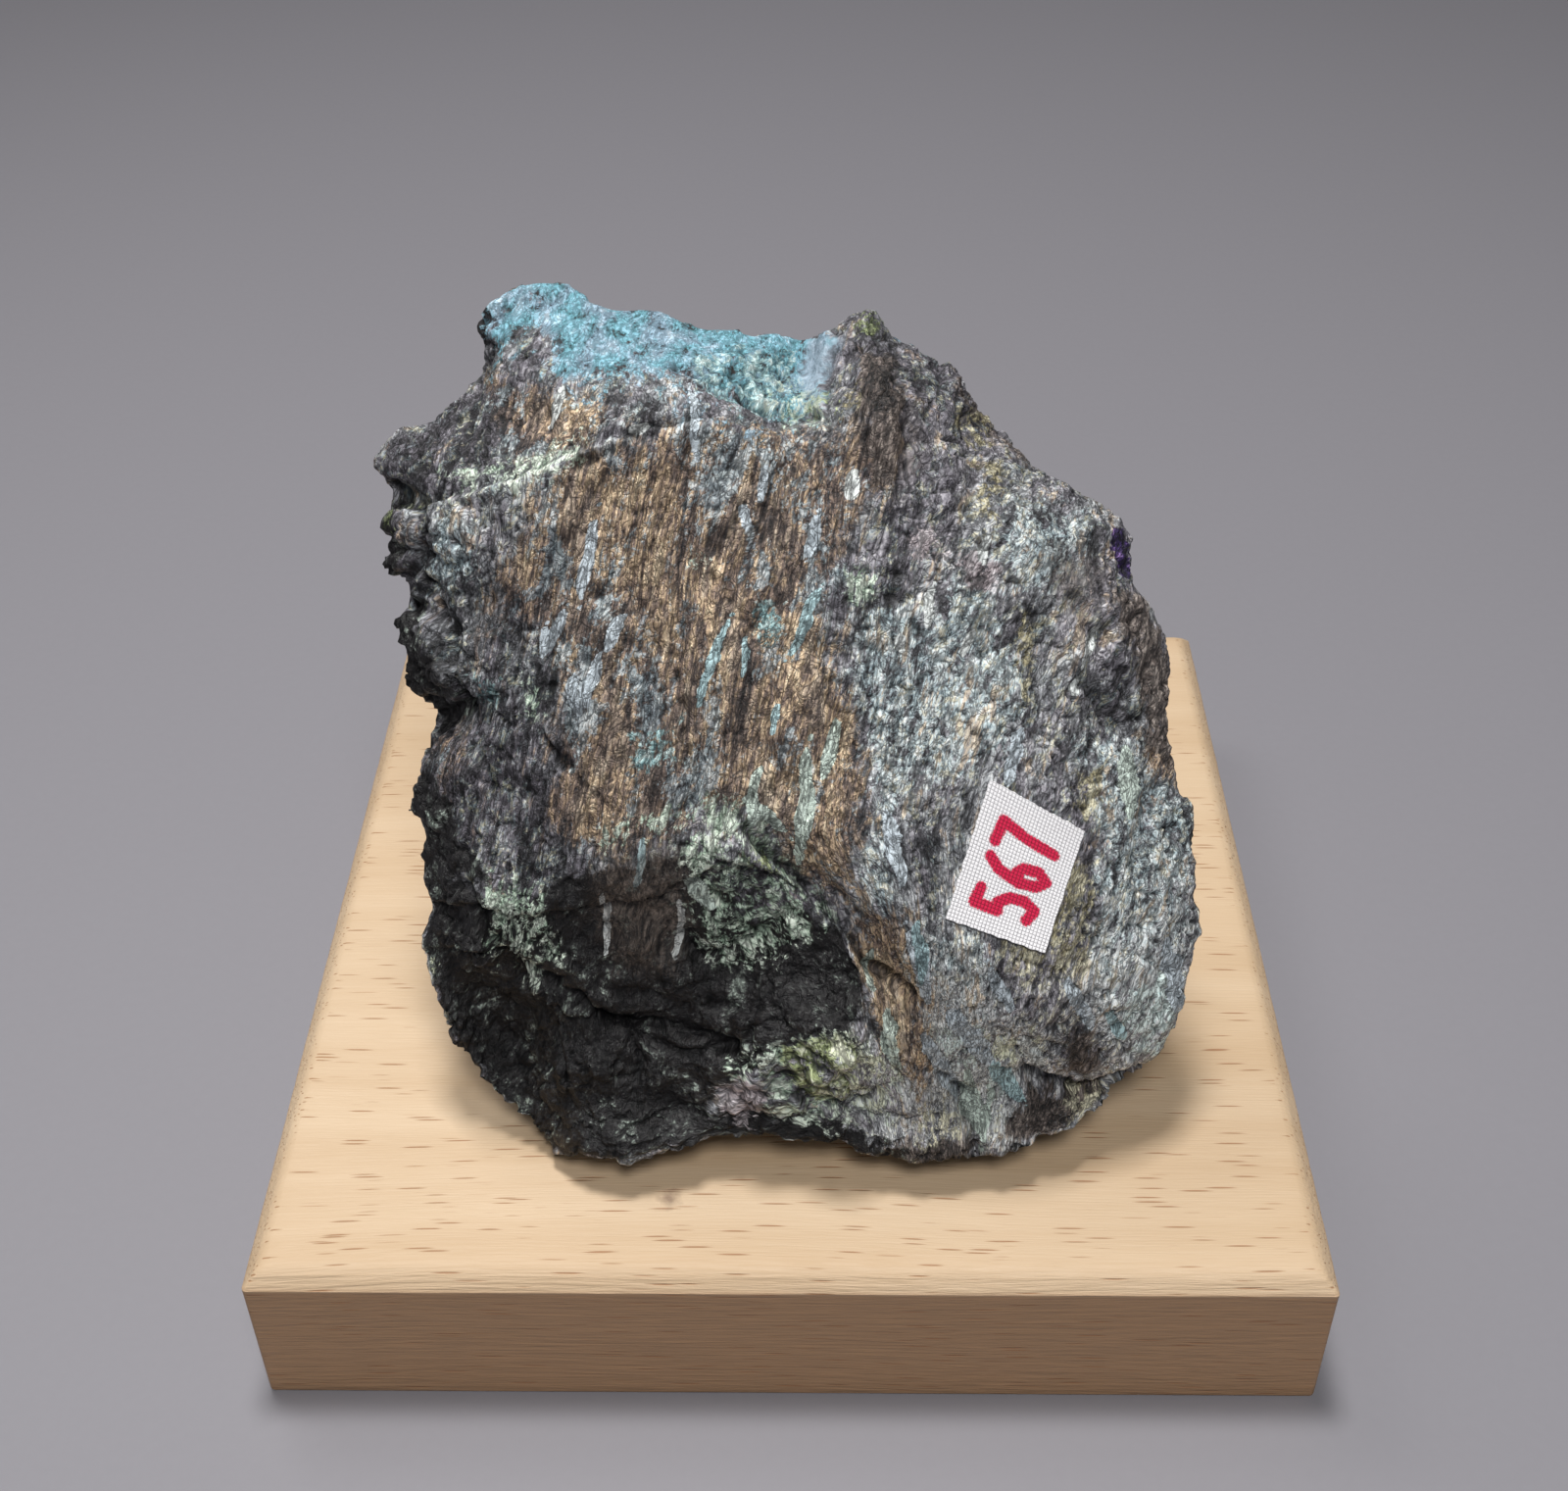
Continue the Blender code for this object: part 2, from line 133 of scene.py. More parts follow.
# Zones of the stone: the softness of the edge in pixels, then outlines as x, y, x, y ... in pixels
ZONES = {
    "bronze": (42, (
        (564, 481, 594, 466, 646, 451, 701, 430, 747, 424, 808, 432, 862, 440, 880, 420, 900, 400, 925, 440,
         905, 505, 880, 500, 868, 545, 863, 592, 835, 645, 858, 690, 866, 730, 885, 794, 880, 860, 857, 923,
         830, 905, 806, 892, 785, 850, 739, 822, 694, 862, 621, 873, 588, 867, 550, 825, 576, 783, 557, 755,
         566, 704, 548, 640, 520, 640, 497, 655, 500, 600, 527, 556, 545, 520),
        (862, 935, 919, 935, 952, 1000, 958, 1085, 935, 1112, 905, 1085, 878, 1020),
        (500, 385, 560, 395, 640, 405, 645, 440, 560, 470, 520, 480, 500, 440),
        (430, 745, 460, 735, 470, 790, 445, 800),
        (1165, 735, 1200, 740, 1205, 800, 1175, 790),
    )),
    "golden": (22, (
        (600, 480, 690, 470, 690, 590, 640, 600, 595, 580),
        (712, 560, 752, 560, 752, 668, 712, 660),
        (800, 640, 865, 640, 865, 790, 800, 720),
        (773, 780, 850, 770, 865, 895, 800, 890),
        (560, 780, 640, 790, 640, 850, 580, 860),
        (505, 380, 600, 392, 640, 430, 560, 450, 520, 430),
        (885, 970, 945, 990, 950, 1090, 905, 1080),
    )),
    "flecked": (26, (
        (500, 400, 640, 400, 640, 470, 560, 500, 500, 480),
        (690, 425, 840, 440, 850, 560, 760, 600, 700, 540),
        (560, 520, 620, 520, 660, 640, 640, 760, 560, 740, 540, 640),
        (640, 720, 740, 720, 740, 830, 640, 850),
        (770, 760, 860, 770, 860, 880, 790, 880),
        (820, 560, 870, 560, 860, 700, 800, 680),
    )),
    "mauve": (20, (
        (845, 350, 950, 345, 1000, 400, 985, 540, 925, 570, 880, 500, 880, 420),
        (1120, 560, 1160, 590, 1170, 700, 1120, 690, 1100, 620),
        (1010, 960, 1090, 970, 1080, 1050, 1000, 1040),
        (1085, 800, 1130, 800, 1130, 960, 1085, 960),
        (838, 335, 875, 312, 900, 330, 880, 380, 842, 380),
        (385, 470, 500, 380, 545, 400, 540, 450, 430, 500),
        (436, 740, 540, 755, 565, 860, 470, 872, 445, 820),
    )),
    "turquoise": (20, (
        (492, 280, 520, 262, 560, 258, 600, 268, 640, 285, 735, 305, 840, 325, 850, 345, 838, 368, 846, 415,
         820, 424, 784, 423, 747, 411, 714, 396, 690, 378, 662, 388, 640, 382, 606, 392, 590, 380, 572, 392,
         556, 350, 540, 332, 528, 350, 512, 366, 493, 350, 499, 328),
    )),
    "turquoise_dust": (26, (
        (490, 340, 560, 335, 640, 365, 700, 365, 780, 390, 850, 400, 862, 440, 780, 462, 700, 445, 640, 430,
         560, 420, 496, 392),
    )),
    "black": (20, (
        (436, 873, 480, 905, 520, 925, 565, 905, 621, 884, 694, 872, 720, 905, 770, 935, 818, 925, 850, 950,
         862, 990, 880, 1041, 875, 1070, 830, 1060, 800, 1080, 739, 1110, 700, 1175, 604, 1192, 548, 1172,
         481, 1100, 440, 1030, 415, 960),
        (375, 505, 412, 520, 405, 590, 425, 640, 445, 690, 470, 735, 400, 745, 370, 600),
        (395, 735, 425, 738, 440, 800, 470, 860, 505, 895, 430, 890, 390, 800),
        (690, 1150, 740, 1130, 830, 1135, 880, 1160, 930, 1180, 920, 1200, 700, 1200),
        (1060, 1172, 1100, 1152, 1150, 1120, 1160, 1150, 1060, 1200, 900, 1205, 900, 1192, 980, 1188),
        (484, 305, 512, 305, 505, 345, 495, 365, 484, 360),
    )),
    "dark": (26, (
        (850, 335, 905, 320, 960, 360, 985, 420, 930, 420, 870, 400),
        (375, 455, 420, 438, 500, 375, 530, 400, 530, 440, 520, 475, 430, 500, 390, 500),
        (375, 500, 430, 520, 500, 560, 500, 700, 470, 740, 400, 750, 370, 620),
        (436, 700, 560, 700, 560, 750, 580, 800, 560, 850, 600, 880, 540, 930, 430, 890),
        (480, 600, 550, 620, 566, 700, 480, 720),
        (690, 860, 810, 900, 860, 950, 800, 960, 700, 940),
        (850, 585, 915, 590, 912, 630, 860, 640),
        (1105, 690, 1150, 690, 1150, 750, 1110, 750),
        (1075, 1050, 1125, 1050, 1120, 1100, 1080, 1100),
        (1170, 800, 1215, 800, 1215, 850, 1180, 860),
        (1040, 1100, 1170, 1092, 1160, 1130, 1100, 1150, 1060, 1165, 1035, 1150),
        (1060, 1040, 1125, 1035, 1130, 1090, 1075, 1100),
        (900, 1165, 1000, 1165, 1060, 1160, 1040, 1200, 900, 1200),
    )),
    "polished": (22, (
        (615, 870, 690, 866, 698, 925, 685, 985, 635, 990, 608, 940),
        (1075, 560, 1115, 575, 1118, 625, 1085, 620),
        (905, 425, 930, 415, 935, 470, 915, 505, 900, 480),
    )),
    "pale_mottle": (26, (
        (863, 640, 885, 609, 941, 626, 975, 600, 1030, 640, 1060, 690, 1045, 760, 1000, 790, 960, 800,
         930, 810, 915, 870, 925, 960, 960, 1080, 940, 1090, 900, 960, 870, 920, 890, 800, 874, 749,
         857, 693),
        (1030, 500, 1112, 515, 1120, 560, 1075, 610, 1030, 600, 1010, 550),
        (960, 560, 1030, 560, 1020, 640, 950, 640),
        (430, 530, 470, 515, 490, 545, 480, 600, 450, 620, 425, 600),
        (1130, 750, 1170, 745, 1180, 800, 1160, 850, 1130, 830),
        (560, 400, 640, 405, 700, 400, 690, 430, 620, 440, 590, 475, 555, 470, 545, 430),
        (450, 500, 520, 480, 575, 455, 600, 465, 560, 495, 500, 515),
        (1130, 930, 1215, 920, 1210, 1040, 1160, 1095, 1125, 1060),
        (935, 1020, 1000, 1025, 1070, 1050, 1075, 1095, 1050, 1130, 1030, 1170, 960, 1165, 940, 1100),
        (1080, 740, 1150, 750, 1225, 830, 1228, 960, 1215, 1040, 1160, 1090, 1110, 1060, 1100, 980,
         1120, 860),
        (880, 940, 1010, 950, 1040, 1040, 1000, 1090, 900, 1060),
        (650, 880, 700, 870, 720, 900, 690, 920),
    )),
    "pinkish": (16, (
        (960, 560, 1000, 560, 1020, 575, 1018, 612, 990, 605, 970, 585),
        (925, 535, 955, 530, 962, 560, 938, 580, 922, 565),
        (734, 1100, 775, 1098, 785, 1135, 760, 1150, 736, 1142),
    )),
    "brown_edge": (18, (
        (1125, 590, 1158, 600, 1192, 640, 1204, 740, 1196, 790, 1165, 760, 1155, 690, 1135, 640),
        (960, 350, 1000, 400, 1060, 470, 1140, 525, 1150, 545, 1100, 500, 1040, 470, 985, 430),
        (872, 350, 918, 350, 924, 430, 905, 500, 885, 500, 868, 420),
        (1045, 1112, 1110, 1108, 1165, 1088, 1150, 1125, 1070, 1165, 1020, 1180),
        (890, 1168, 960, 1160, 1020, 1172, 1050, 1165, 1040, 1205, 890, 1210),
        (1082, 1045, 1122, 1050, 1118, 1098, 1080, 1095),
    )),
    "purple": (4, (
        (1133, 540, 1150, 540, 1158, 575, 1156, 592, 1142, 580, 1134, 560),
    )),
    "olive": (15, (
        (968, 404, 1012, 410, 1026, 446, 1000, 460, 974, 444),
        (996, 462, 1028, 464, 1020, 536, 994, 526),
        (983, 525, 1002, 528, 1000, 552, 985, 550),
        (1028, 620, 1062, 625, 1064, 718, 1036, 715),
        (855, 385, 880, 390, 878, 418, 852, 415),
        (1040, 860, 1130, 870, 1120, 990, 1050, 1010, 1010, 950),
        (556, 290, 590, 292, 590, 324, 560, 322),
        (1085, 775, 1130, 780, 1125, 850, 1090, 830),
        (1085, 1118, 1150, 1105, 1120, 1148, 1075, 1165),
        (940, 1120, 985, 1130, 980, 1175, 940, 1180),
    )),
    "lime": (16, (
        (798, 1062, 880, 1055, 910, 1090, 900, 1140, 850, 1135, 812, 1125, 790, 1095),
        (396, 522, 415, 522, 412, 538, 396, 538),
        (872, 306, 902, 306, 905, 340, 880, 345),
        (815, 402, 856, 400, 858, 420, 818, 420),
        (760, 868, 785, 868, 812, 905, 800, 915, 770, 895),
        (985, 1060, 1060, 1055, 1070, 1085, 1000, 1092),
        (425, 980, 440, 985, 436, 1010, 425, 1000),
    )),
    "malachite": (18, (
        (600, 850, 650, 832, 720, 808, 765, 826, 800, 862, 850, 920, 862, 950, 835, 940, 790, 905, 750, 862,
         710, 850, 650, 862, 610, 872),
        (655, 862, 730, 850, 790, 880, 840, 950, 800, 985, 730, 1000, 700, 960, 696, 890),
        (500, 890, 548, 895, 575, 985, 545, 1010, 500, 990, 486, 930),
        (745, 1080, 800, 1060, 900, 1050, 920, 1110, 900, 1160, 800, 1150, 740, 1140),
        (704, 566, 726, 565, 724, 579, 704, 580),
        (800, 388, 842, 398, 842, 426, 800, 428, 790, 408),
        (850, 575, 885, 570, 900, 600, 880, 620, 858, 615),
        (529, 690, 562, 700, 552, 738, 529, 730),
        (440, 480, 520, 465, 600, 440, 600, 470, 520, 500, 450, 505),
    )),
    "teal": (12, (
        (775, 612, 800, 615, 795, 660, 770, 665, 762, 640),
        (640, 740, 696, 736, 698, 780, 642, 785),
        (955, 1045, 1003, 1040, 1008, 1080, 990, 1100, 960, 1085),
        (1008, 1094, 1045, 1100, 1042, 1131, 1012, 1125),
        (1140, 1005, 1212, 990, 1200, 1070, 1150, 1090),
        (705, 365, 745, 350, 800, 352, 822, 360, 822, 400, 800, 424, 750, 420, 710, 398),
        (478, 690, 508, 690, 502, 728, 480, 728),
    )),
    "smooth_blue": (16, (
        (826, 348, 846, 340, 862, 338, 848, 362, 840, 385, 834, 412, 816, 412, 818, 375),
    )),
    "granular": (16, (
        (375, 500, 430, 520, 480, 560, 490, 620, 480, 680, 480, 740, 400, 750, 370, 620),
        (440, 915, 560, 950, 660, 985, 740, 945, 830, 940, 880, 1010, 905, 1090, 880, 1190, 700, 1200,
         540, 1190, 430, 1040),
        (484, 300, 515, 300, 510, 370, 484, 370),
    )),
}

# How many pixels noise moves the edges of zones and lenses, and how much a lens is widened
EDGE_WANDER = 12
LENS_WANDER = 5
LENS_BREADTH = 1.2

# Pale lenses along the fibres, by colour: both ends' x and y, then half-width, all in pixels
LENSES = {
    "blue_white": (
        (607, 530, 591, 610, 5), (576, 622, 555, 662, 4.5), (637, 628, 619, 665, 5.5),
        (612, 668, 600, 722, 5.5), (778, 478, 775, 509, 4), (756, 512, 767, 541, 4.5),
        (833, 527, 822, 566, 5), (590, 690, 588, 730, 5), (706, 395, 712, 470, 3), (556, 640, 549, 668, 4),
        (1043, 745, 1030, 800, 5), (968, 1032, 1012, 1085, 8), (946, 1060, 976, 1120, 7),
        (930, 955, 948, 1025, 7), (1010, 985, 1030, 1030, 6), (1095, 1000, 1115, 1050, 6),
        (1195, 960, 1200, 1030, 7), (905, 830, 920, 900, 7),
    ),
    "cyan": (
        (741, 637, 713, 717, 3.5), (836, 603, 808, 668, 4.5), (795, 718, 789, 748, 3),
        (936, 942, 941, 1004, 4.5), (760, 655, 757, 690, 3), (648, 905, 655, 860, 2.5),
        (1130, 1035, 1150, 1060, 5), (1012, 1085, 1042, 1125, 7),
    ),
    "green_white": (
        (773, 785, 766, 842, 4.5), (825, 770, 817, 876, 6.5), (888, 975, 891, 1010, 3.5),
        (851, 735, 842, 790, 5), (1148, 765, 1156, 830, 8), (1010, 1110, 1003, 1165, 4),
        (985, 1095, 1000, 1160, 7), (905, 1030, 915, 1090, 6), (760, 815, 800, 850, 5),
        (690, 905, 730, 930, 5),
    ),
    "white": (
        (616, 921, 618, 976, 2.5), (694, 927, 689, 982, 2.5), (1122, 640, 1104, 682, 4.5),
        (1100, 690, 1096, 710, 5), (915, 650, 919, 664, 4.5), (870, 480, 866, 508, 5),
        (990, 640, 982, 668, 5), (1008, 545, 1002, 575, 4), (952, 600, 945, 640, 4),
        (575, 395, 560, 430, 4), (640, 440, 660, 436, 4), (1040, 1060, 1062, 1088, 6),
    ),
}

# Grooves: a line as x, y, x, y ... in pixels, then depth and half-width
GROOVES = (
    ((762, 848, 790, 876, 823, 906, 857, 946, 885, 985, 925, 1015), 1.5, 0.55),
    ((509, 985, 565, 1007, 604, 1036, 649, 1047, 683, 1047, 742, 1068), 1.5, 0.7),
    ((649, 1058, 661, 1064, 694, 1075, 745, 1075), 0.9, 0.45),
    ((724, 1023, 771, 1029, 765, 1050, 757, 1085), 0.9, 0.5),
    ((700, 960, 715, 985, 760, 968, 800, 935), 0.8, 0.6),
    ((640, 1060, 655, 1085, 648, 1100), 0.9, 0.35),
    ((926, 417, 929, 452, 917, 505, 905, 560), 0.7, 0.6),
    ((1048, 1097, 1075, 1108, 1109, 1114, 1166, 1097), 1.5, 0.7),
    ((960, 1100, 985, 1118, 990, 1150, 1000, 1180), 1.1, 0.6),
    ((800, 1100, 830, 1130, 870, 1135, 905, 1118), 1.0, 0.7),
    ((436, 600, 455, 640, 452, 690, 470, 720), 1.4, 0.8),
    ((400, 500, 430, 520, 425, 560, 405, 612, 440, 625), 1.3, 0.7),
    ((470, 905, 490, 950, 520, 1000, 560, 1060, 580, 1120), 1.0, 0.6),
    ((860, 600, 845, 650, 850, 720, 872, 770), 0.5, 0.7),
    ((566, 700, 556, 754, 574, 780), 0.9, 0.4),
    ((590, 475, 640, 450, 720, 425, 800, 430), 0.6, 0.6),
    ((690, 372, 730, 395, 790, 418, 832, 424), 0.7, 0.5),
    ((1100, 610, 1120, 650, 1112, 700, 1150, 750), 0.7, 0.7),
    ((1180, 800, 1160, 860, 1170, 950), 0.6, 0.8),
    ((985, 430, 1000, 480, 975, 560), 0.5, 0.6),
    ((730, 590, 760, 640, 765, 700), 0.5, 0.4),
    ((640, 600, 690, 690, 700, 780), 0.4, 0.4),
)

# Ledges: a line, then the height by which its left side stands out, or sinks where that is negative, and the
# reach over which it fades
LEDGES = (
    ((905, 1060, 880, 1000, 850, 940, 800, 895, 740, 878, 660, 920, 530, 935, 440, 915), -1.2, 3.0),
    ((642, 1036, 595, 1044, 542, 1014, 515, 973, 463, 970), -1.3, 2.5),
    ((470, 716, 430, 724, 396, 730), -1.4, 2.5),
    ((571, 675, 554, 751, 586, 784), 1.1, 2.5),
    ((1190, 1075, 1120, 1104, 1040, 1092), -0.9, 2.0),
    ((700, 430, 600, 452, 570, 467, 520, 490, 460, 507, 405, 522), 0.9, 2.5),
    ((846, 330, 838, 380, 840, 420), -0.9, 2.0),
    ((720, 395, 770, 412, 830, 420), 0.8, 1.6),
    ((905, 640, 890, 700, 905, 770), 0.6, 3.0),
    ((1120, 560, 1128, 640, 1150, 700), 0.7, 3.0),
    ((760, 640, 800, 740, 790, 800), -0.6, 2.5),
    ((640, 640, 625, 700, 600, 740), 0.5, 2.0),
)

# The stone's colour attributes, and what each one's four channels hold
CHANNELS = {
    "minerals": ("bronze", "crust", "black", "pale_mottle"),
    "tones": ("golden", "dark", "brown_edge", "mauve"),
    "stains": ("olive", "lime", "malachite", "teal"),
    "skins": ("pinkish", "flecked", "purple", "smooth_blue"),
    "lenses": ("blue_white", "cyan", "green_white", "white"),
    # Of these, the relief share and the foot are painted highlight, shade and light rather than the stone's
    # own colour
    "texture_and_painted_light": ("granular", "polished", "relief_light_and_shade", "foot"),
}


def add_object(name, data):
    obj = bpy.data.objects.new(name, data)
    bpy.context.scene.collection.objects.link(obj)
    return obj


def new_mesh(name, bm):
    mesh = bpy.data.meshes.new(name)
    bm.to_mesh(mesh)
    bm.free()
    return mesh


def evaluated_mesh(obj):
    graph = bpy.context.evaluated_depsgraph_get()
    return bpy.data.meshes.new_from_object(obj.evaluated_get(graph))


def smooth_step(low, high, x):
    t = np.clip((x - low) / (high - low), 0, 1)
    return t * t * (3 - 2 * t)


def lattice(cell, seed):
    """A fixed random 32-bit number for each whole-numbered cell. The large odd factors mix its bits."""
    mixed = cell[:, 0] * 374761393 + cell[:, 1] * 668265263 + cell[:, 2] * 1440662683 + seed * 97531
    mixed = ((mixed ^ (mixed >> 13)) & 0xFFFFFFFF) * 1274126177 & 0xFFFFFFFF
    return mixed ^ (mixed >> 16)


def unit_parts(number):
    """Three numbers from -1 to 1 out of a random 32-bit number."""
    return np.stack([((number >> shift) & 1023) / 511.5 - 1 for shift in (0, 10, 20)], axis=1)


def ripple(points, seed):
    """Gradient noise, about -1 to 1. Each use of noise has a seed of its own."""
    cell = np.floor(points).astype(np.int64)
    part = points - cell
    ease = part**3 * (part * (part * 6 - 15) + 10)
    total = np.zeros(len(points))
    for corner in np.ndindex(2, 2, 2):
        step = np.array(corner)
        slope = unit_parts(lattice(cell + step, seed))
        share = np.prod(np.where(step, ease, 1 - ease), axis=1)
        total += share * np.sum(slope * (part - step), axis=1)
    return total * 1.3


def rough(points, seed, octaves=4, gain=0.5):
    """Ripples on ripples."""
    return sum(gain**k * ripple(points * 2.03**k, seed + k) for k in range(octaves))


def pebbles(points, seed):
    """Distance to the nearest of scattered points, to the next, and a random number of that pebble."""
    cell = np.floor(points).astype(np.int64)
    first = np.full(len(points), FAR)
    second = np.full(len(points), FAR)
    tag = np.zeros(len(points))
    for corner in np.ndindex(3, 3, 3):
        neighbour = cell + np.array(corner) - 1
        number = lattice(neighbour, seed)
        middle = neighbour + 0.5 + 0.5 * unit_parts(number)
        away = np.linalg.norm(points - middle, axis=1)
        nearer = away < first
        second = np.where(nearer, first, np.minimum(second, away))
        tag = np.where(nearer, (number >> 7 & 255) / 255, tag)
        first = np.minimum(first, away)
    return first, second, tag


def stairs(height, tread=0.75):
    """Turns a slope into steps of height 1 with risers that take the rest of each tread."""
    base = np.floor(height)
    return base + smooth_step(tread, 1.0, height - base)


def camera_axes():
    """The fitted camera's right, up and forward directions."""
    yaw, pitch, roll = (math.radians(a) for a in CAMERA_TURNS)
    forward = Vector((math.sin(yaw) * math.cos(pitch), math.cos(yaw) * math.cos(pitch), -math.sin(pitch)))
    level = Vector((math.cos(yaw), -math.sin(yaw), 0))
    rise = level.cross(forward)
    right = math.cos(roll) * level + math.sin(roll) * rise
    up = math.cos(roll) * rise - math.sin(roll) * level
    return right, up, forward


def seen_at(points):
    """The photograph's pixel for each world point, in millimetres."""
    axes = np.array([axis[:] for axis in camera_axes()])
    ahead = (points - np.array(CAMERA_PLACE)) @ axes.T
    return np.stack((
        IMAGE_SIZE[0] / 2 + FOCAL_LENGTH_PX * ahead[:, 0] / ahead[:, 2],
        IMAGE_SIZE[1] / 2 - FOCAL_LENGTH_PX * ahead[:, 1] / ahead[:, 2],
    ), axis=1)


def on_level(pixel, height):
    """The world point at a height, in millimetres, that the photograph shows at a pixel."""
    right, up, forward = camera_axes()
    ray = forward + right * (pixel[0] - IMAGE_SIZE[0] / 2) / FOCAL_LENGTH_PX
    ray -= up * (pixel[1] - IMAGE_SIZE[1] / 2) / FOCAL_LENGTH_PX
    start = Vector(CAMERA_PLACE)
    return start + ray * ((height - start.z) / ray.z)


def face_axes():
    """The face frame's u, v and n directions, as rows."""
    tilt = math.radians(FACE_TILT)
    return np.array([
        (1, 0, 0),
        (0, math.cos(tilt), math.sin(tilt)),
        (0, -math.sin(tilt), math.cos(tilt)),
    ])


def in_face_frame(points):
    return (points - np.array(FACE_ORIGIN)) @ face_axes().T


def in_pairs(numbers):
    """A flat row of x, y, x, y ... as an array of points."""
    return np.array(numbers, float).reshape(-1, 2)


def line_distance(points, line):
    """Distance to a line of points, and the side of it: 1 on its left as the photograph shows it."""
    nearest = np.full(len(points), np.inf)
    side = np.zeros(len(points))
    for start, end in zip(line, line[1:]):
        run = end - start
        along = np.clip((points - start) @ run / (run @ run), 0, 1)
        off = points - start - along[:, None] * run
        away = np.hypot(off[:, 0], off[:, 1])
        closer = away < nearest
        nearest = np.where(closer, away, nearest)
        side = np.where(closer, np.sign(off[:, 0] * run[1] - off[:, 1] * run[0]), side)
    return nearest, side


def inside(points, corners):
    """Whether each point is inside the polygon with these corners."""
    result = np.zeros(len(points), bool)
    for (x0, y0), (x1, y1) in zip(corners, np.roll(corners, -1, axis=0)):
        if y0 == y1:
            continue
        crosses = (y0 > points[:, 1]) != (y1 > points[:, 1])
        result ^= crosses & (points[:, 0] < (x1 - x0) * (points[:, 1] - y0) / (y1 - y0) + x0)
    return result


def depth_inside(points, corners):
    """Distance to the polygon's edge, negative outside it."""
    away, _ = line_distance(points, np.vstack((corners, corners[:1])))
    return np.where(inside(points, corners), away, -away)


def zone(points, name):
    """How far each pixel position is inside a zone: 0 to 1, and 0.5 on its edge."""
    softness, outlines = ZONES[name]
    amount = np.zeros(len(points))
    for outline in outlines:
        amount = np.maximum(amount, smooth_step(-softness, softness, depth_inside(points, in_pairs(outline))))
    return amount


def lens_shape(points, x0, y0, x1, y1, half_width):
    """1 along the middle of a lens, falling to 0 at its sides and ends."""
    start = np.array((x0, y0), float)
    run = np.array((x1, y1), float) - start
    along = np.clip((points - start) @ run / (run @ run), -0.2, 1.2)
    off = points - start - along[:, None] * run
    width = LENS_BREADTH * half_width * np.sqrt(np.clip(1 - (2 * along - 1) ** 2 / 1.2, 0, 1))
    return 1 - smooth_step(0, 1, np.hypot(off[:, 0], off[:, 1]) / (1.6 * width + 0.5))


def neighbour_mean(values, edges, count):
    """The mean of each vertex's neighbours."""
    total = np.zeros_like(values)
    for axis in range(values.shape[1]):
        total[:, axis] = np.bincount(edges[:, 0], values[edges[:, 1], axis], count)
        total[:, axis] += np.bincount(edges[:, 1], values[edges[:, 0], axis], count)
    uses = np.bincount(edges.ravel(), minlength=count)
    return total / np.maximum(uses, 1)[:, None]


def mesh_arrays(mesh):
    """The mesh's points and edges."""
    points = np.empty(len(mesh.vertices) * 3, np.float32)
    mesh.vertices.foreach_get("co", points)
    edges = np.empty(len(mesh.edges) * 2, np.int32)
    mesh.edges.foreach_get("vertices", edges)
    return points.reshape(-1, 3).astype(float), edges.reshape(-1, 2)


def set_points(mesh, points):
    mesh.vertices.foreach_set("co", points.astype(np.float32).ravel())
    mesh.update()


def vertex_normals(mesh):
    normals = np.empty(len(mesh.vertices) * 3, np.float32)
    mesh.vertex_normals.foreach_get("vector", normals)
    return normals.reshape(-1, 3).astype(float)


def smoothed(mesh, rounds):
    """Evens out facets with little loss of volume."""
    points, edges = mesh_arrays(mesh)
    for _ in range(rounds):
        for weight in SMOOTHING_WEIGHTS:
            points += weight * (neighbour_mean(points, edges, len(points)) - points)
    set_points(mesh, points)


def fine_stone_mesh(node):
    """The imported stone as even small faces, smaller on the side that the photograph shows."""
    obj = add_object("stone_base", node.data.copy())
    remesh = obj.modifiers.new("even_voxels", "REMESH")
    remesh.mode = "VOXEL"
    remesh.voxel_size = COARSE_VOXEL * MM
    mesh = evaluated_mesh(obj)
    bpy.data.objects.remove(obj)
    smoothed(mesh, SMOOTHING_ROUNDS)
    outward = Vector(face_axes()[2])
    bm = bmesh.new()
    bm.from_mesh(mesh)
    bm.normal_update()
    shown = {edge for face in bm.faces if face.normal.dot(outward) > FRONT_FACING for edge in face.edges}
    ordered = [edge for edge in bm.edges if edge in shown]
    bmesh.ops.subdivide_edges(bm, edges=ordered, cuts=1, use_grid_fill=True)
    bmesh.ops.triangulate(bm, faces=[face for face in bm.faces if len(face.verts) > 4])
    bm.to_mesh(mesh)
    bm.free()
    smoothed(mesh, FINE_ROUNDS)
    return mesh


def label_plane(u, v):
    return LABEL_LIFT + (u - LABEL_CENTRE[0]) * LABEL_SLOPE[0] + (v - LABEL_CENTRE[1]) * LABEL_SLOPE[1]


def label_bed(u, v):
    """1 under the label, falling to 0 just outside it."""
    outside_by = np.maximum(-depth_inside(np.column_stack((u, v)), np.array(LABEL_CORNERS)), 0)
    return 1 - smooth_step(*BED_EDGE, outside_by)


def fibre_frame(face):
    """Coordinates across the fibres, along them, and through the stone."""
    u, v, n = face.T
    lean = (0.19 + 0.16 * smooth_step(4, 26, u)) * (v - 40)
    lean += 0.45 * np.clip(32 - v, 0, None) * np.exp(-(((u - 6) / 13) ** 2))
    sway = 0.8 * ripple(face * (1 / 9, 1 / 16, 1 / 9), 5)
    return np.column_stack((u - lean + sway, v, n))


def pixel_size(world):
    """Millimetres across one pixel of the photograph at each world point."""
    ahead = (world - np.array(CAMERA_PLACE)) @ np.array(camera_axes()[2][:])
    return ahead / FOCAL_LENGTH_PX


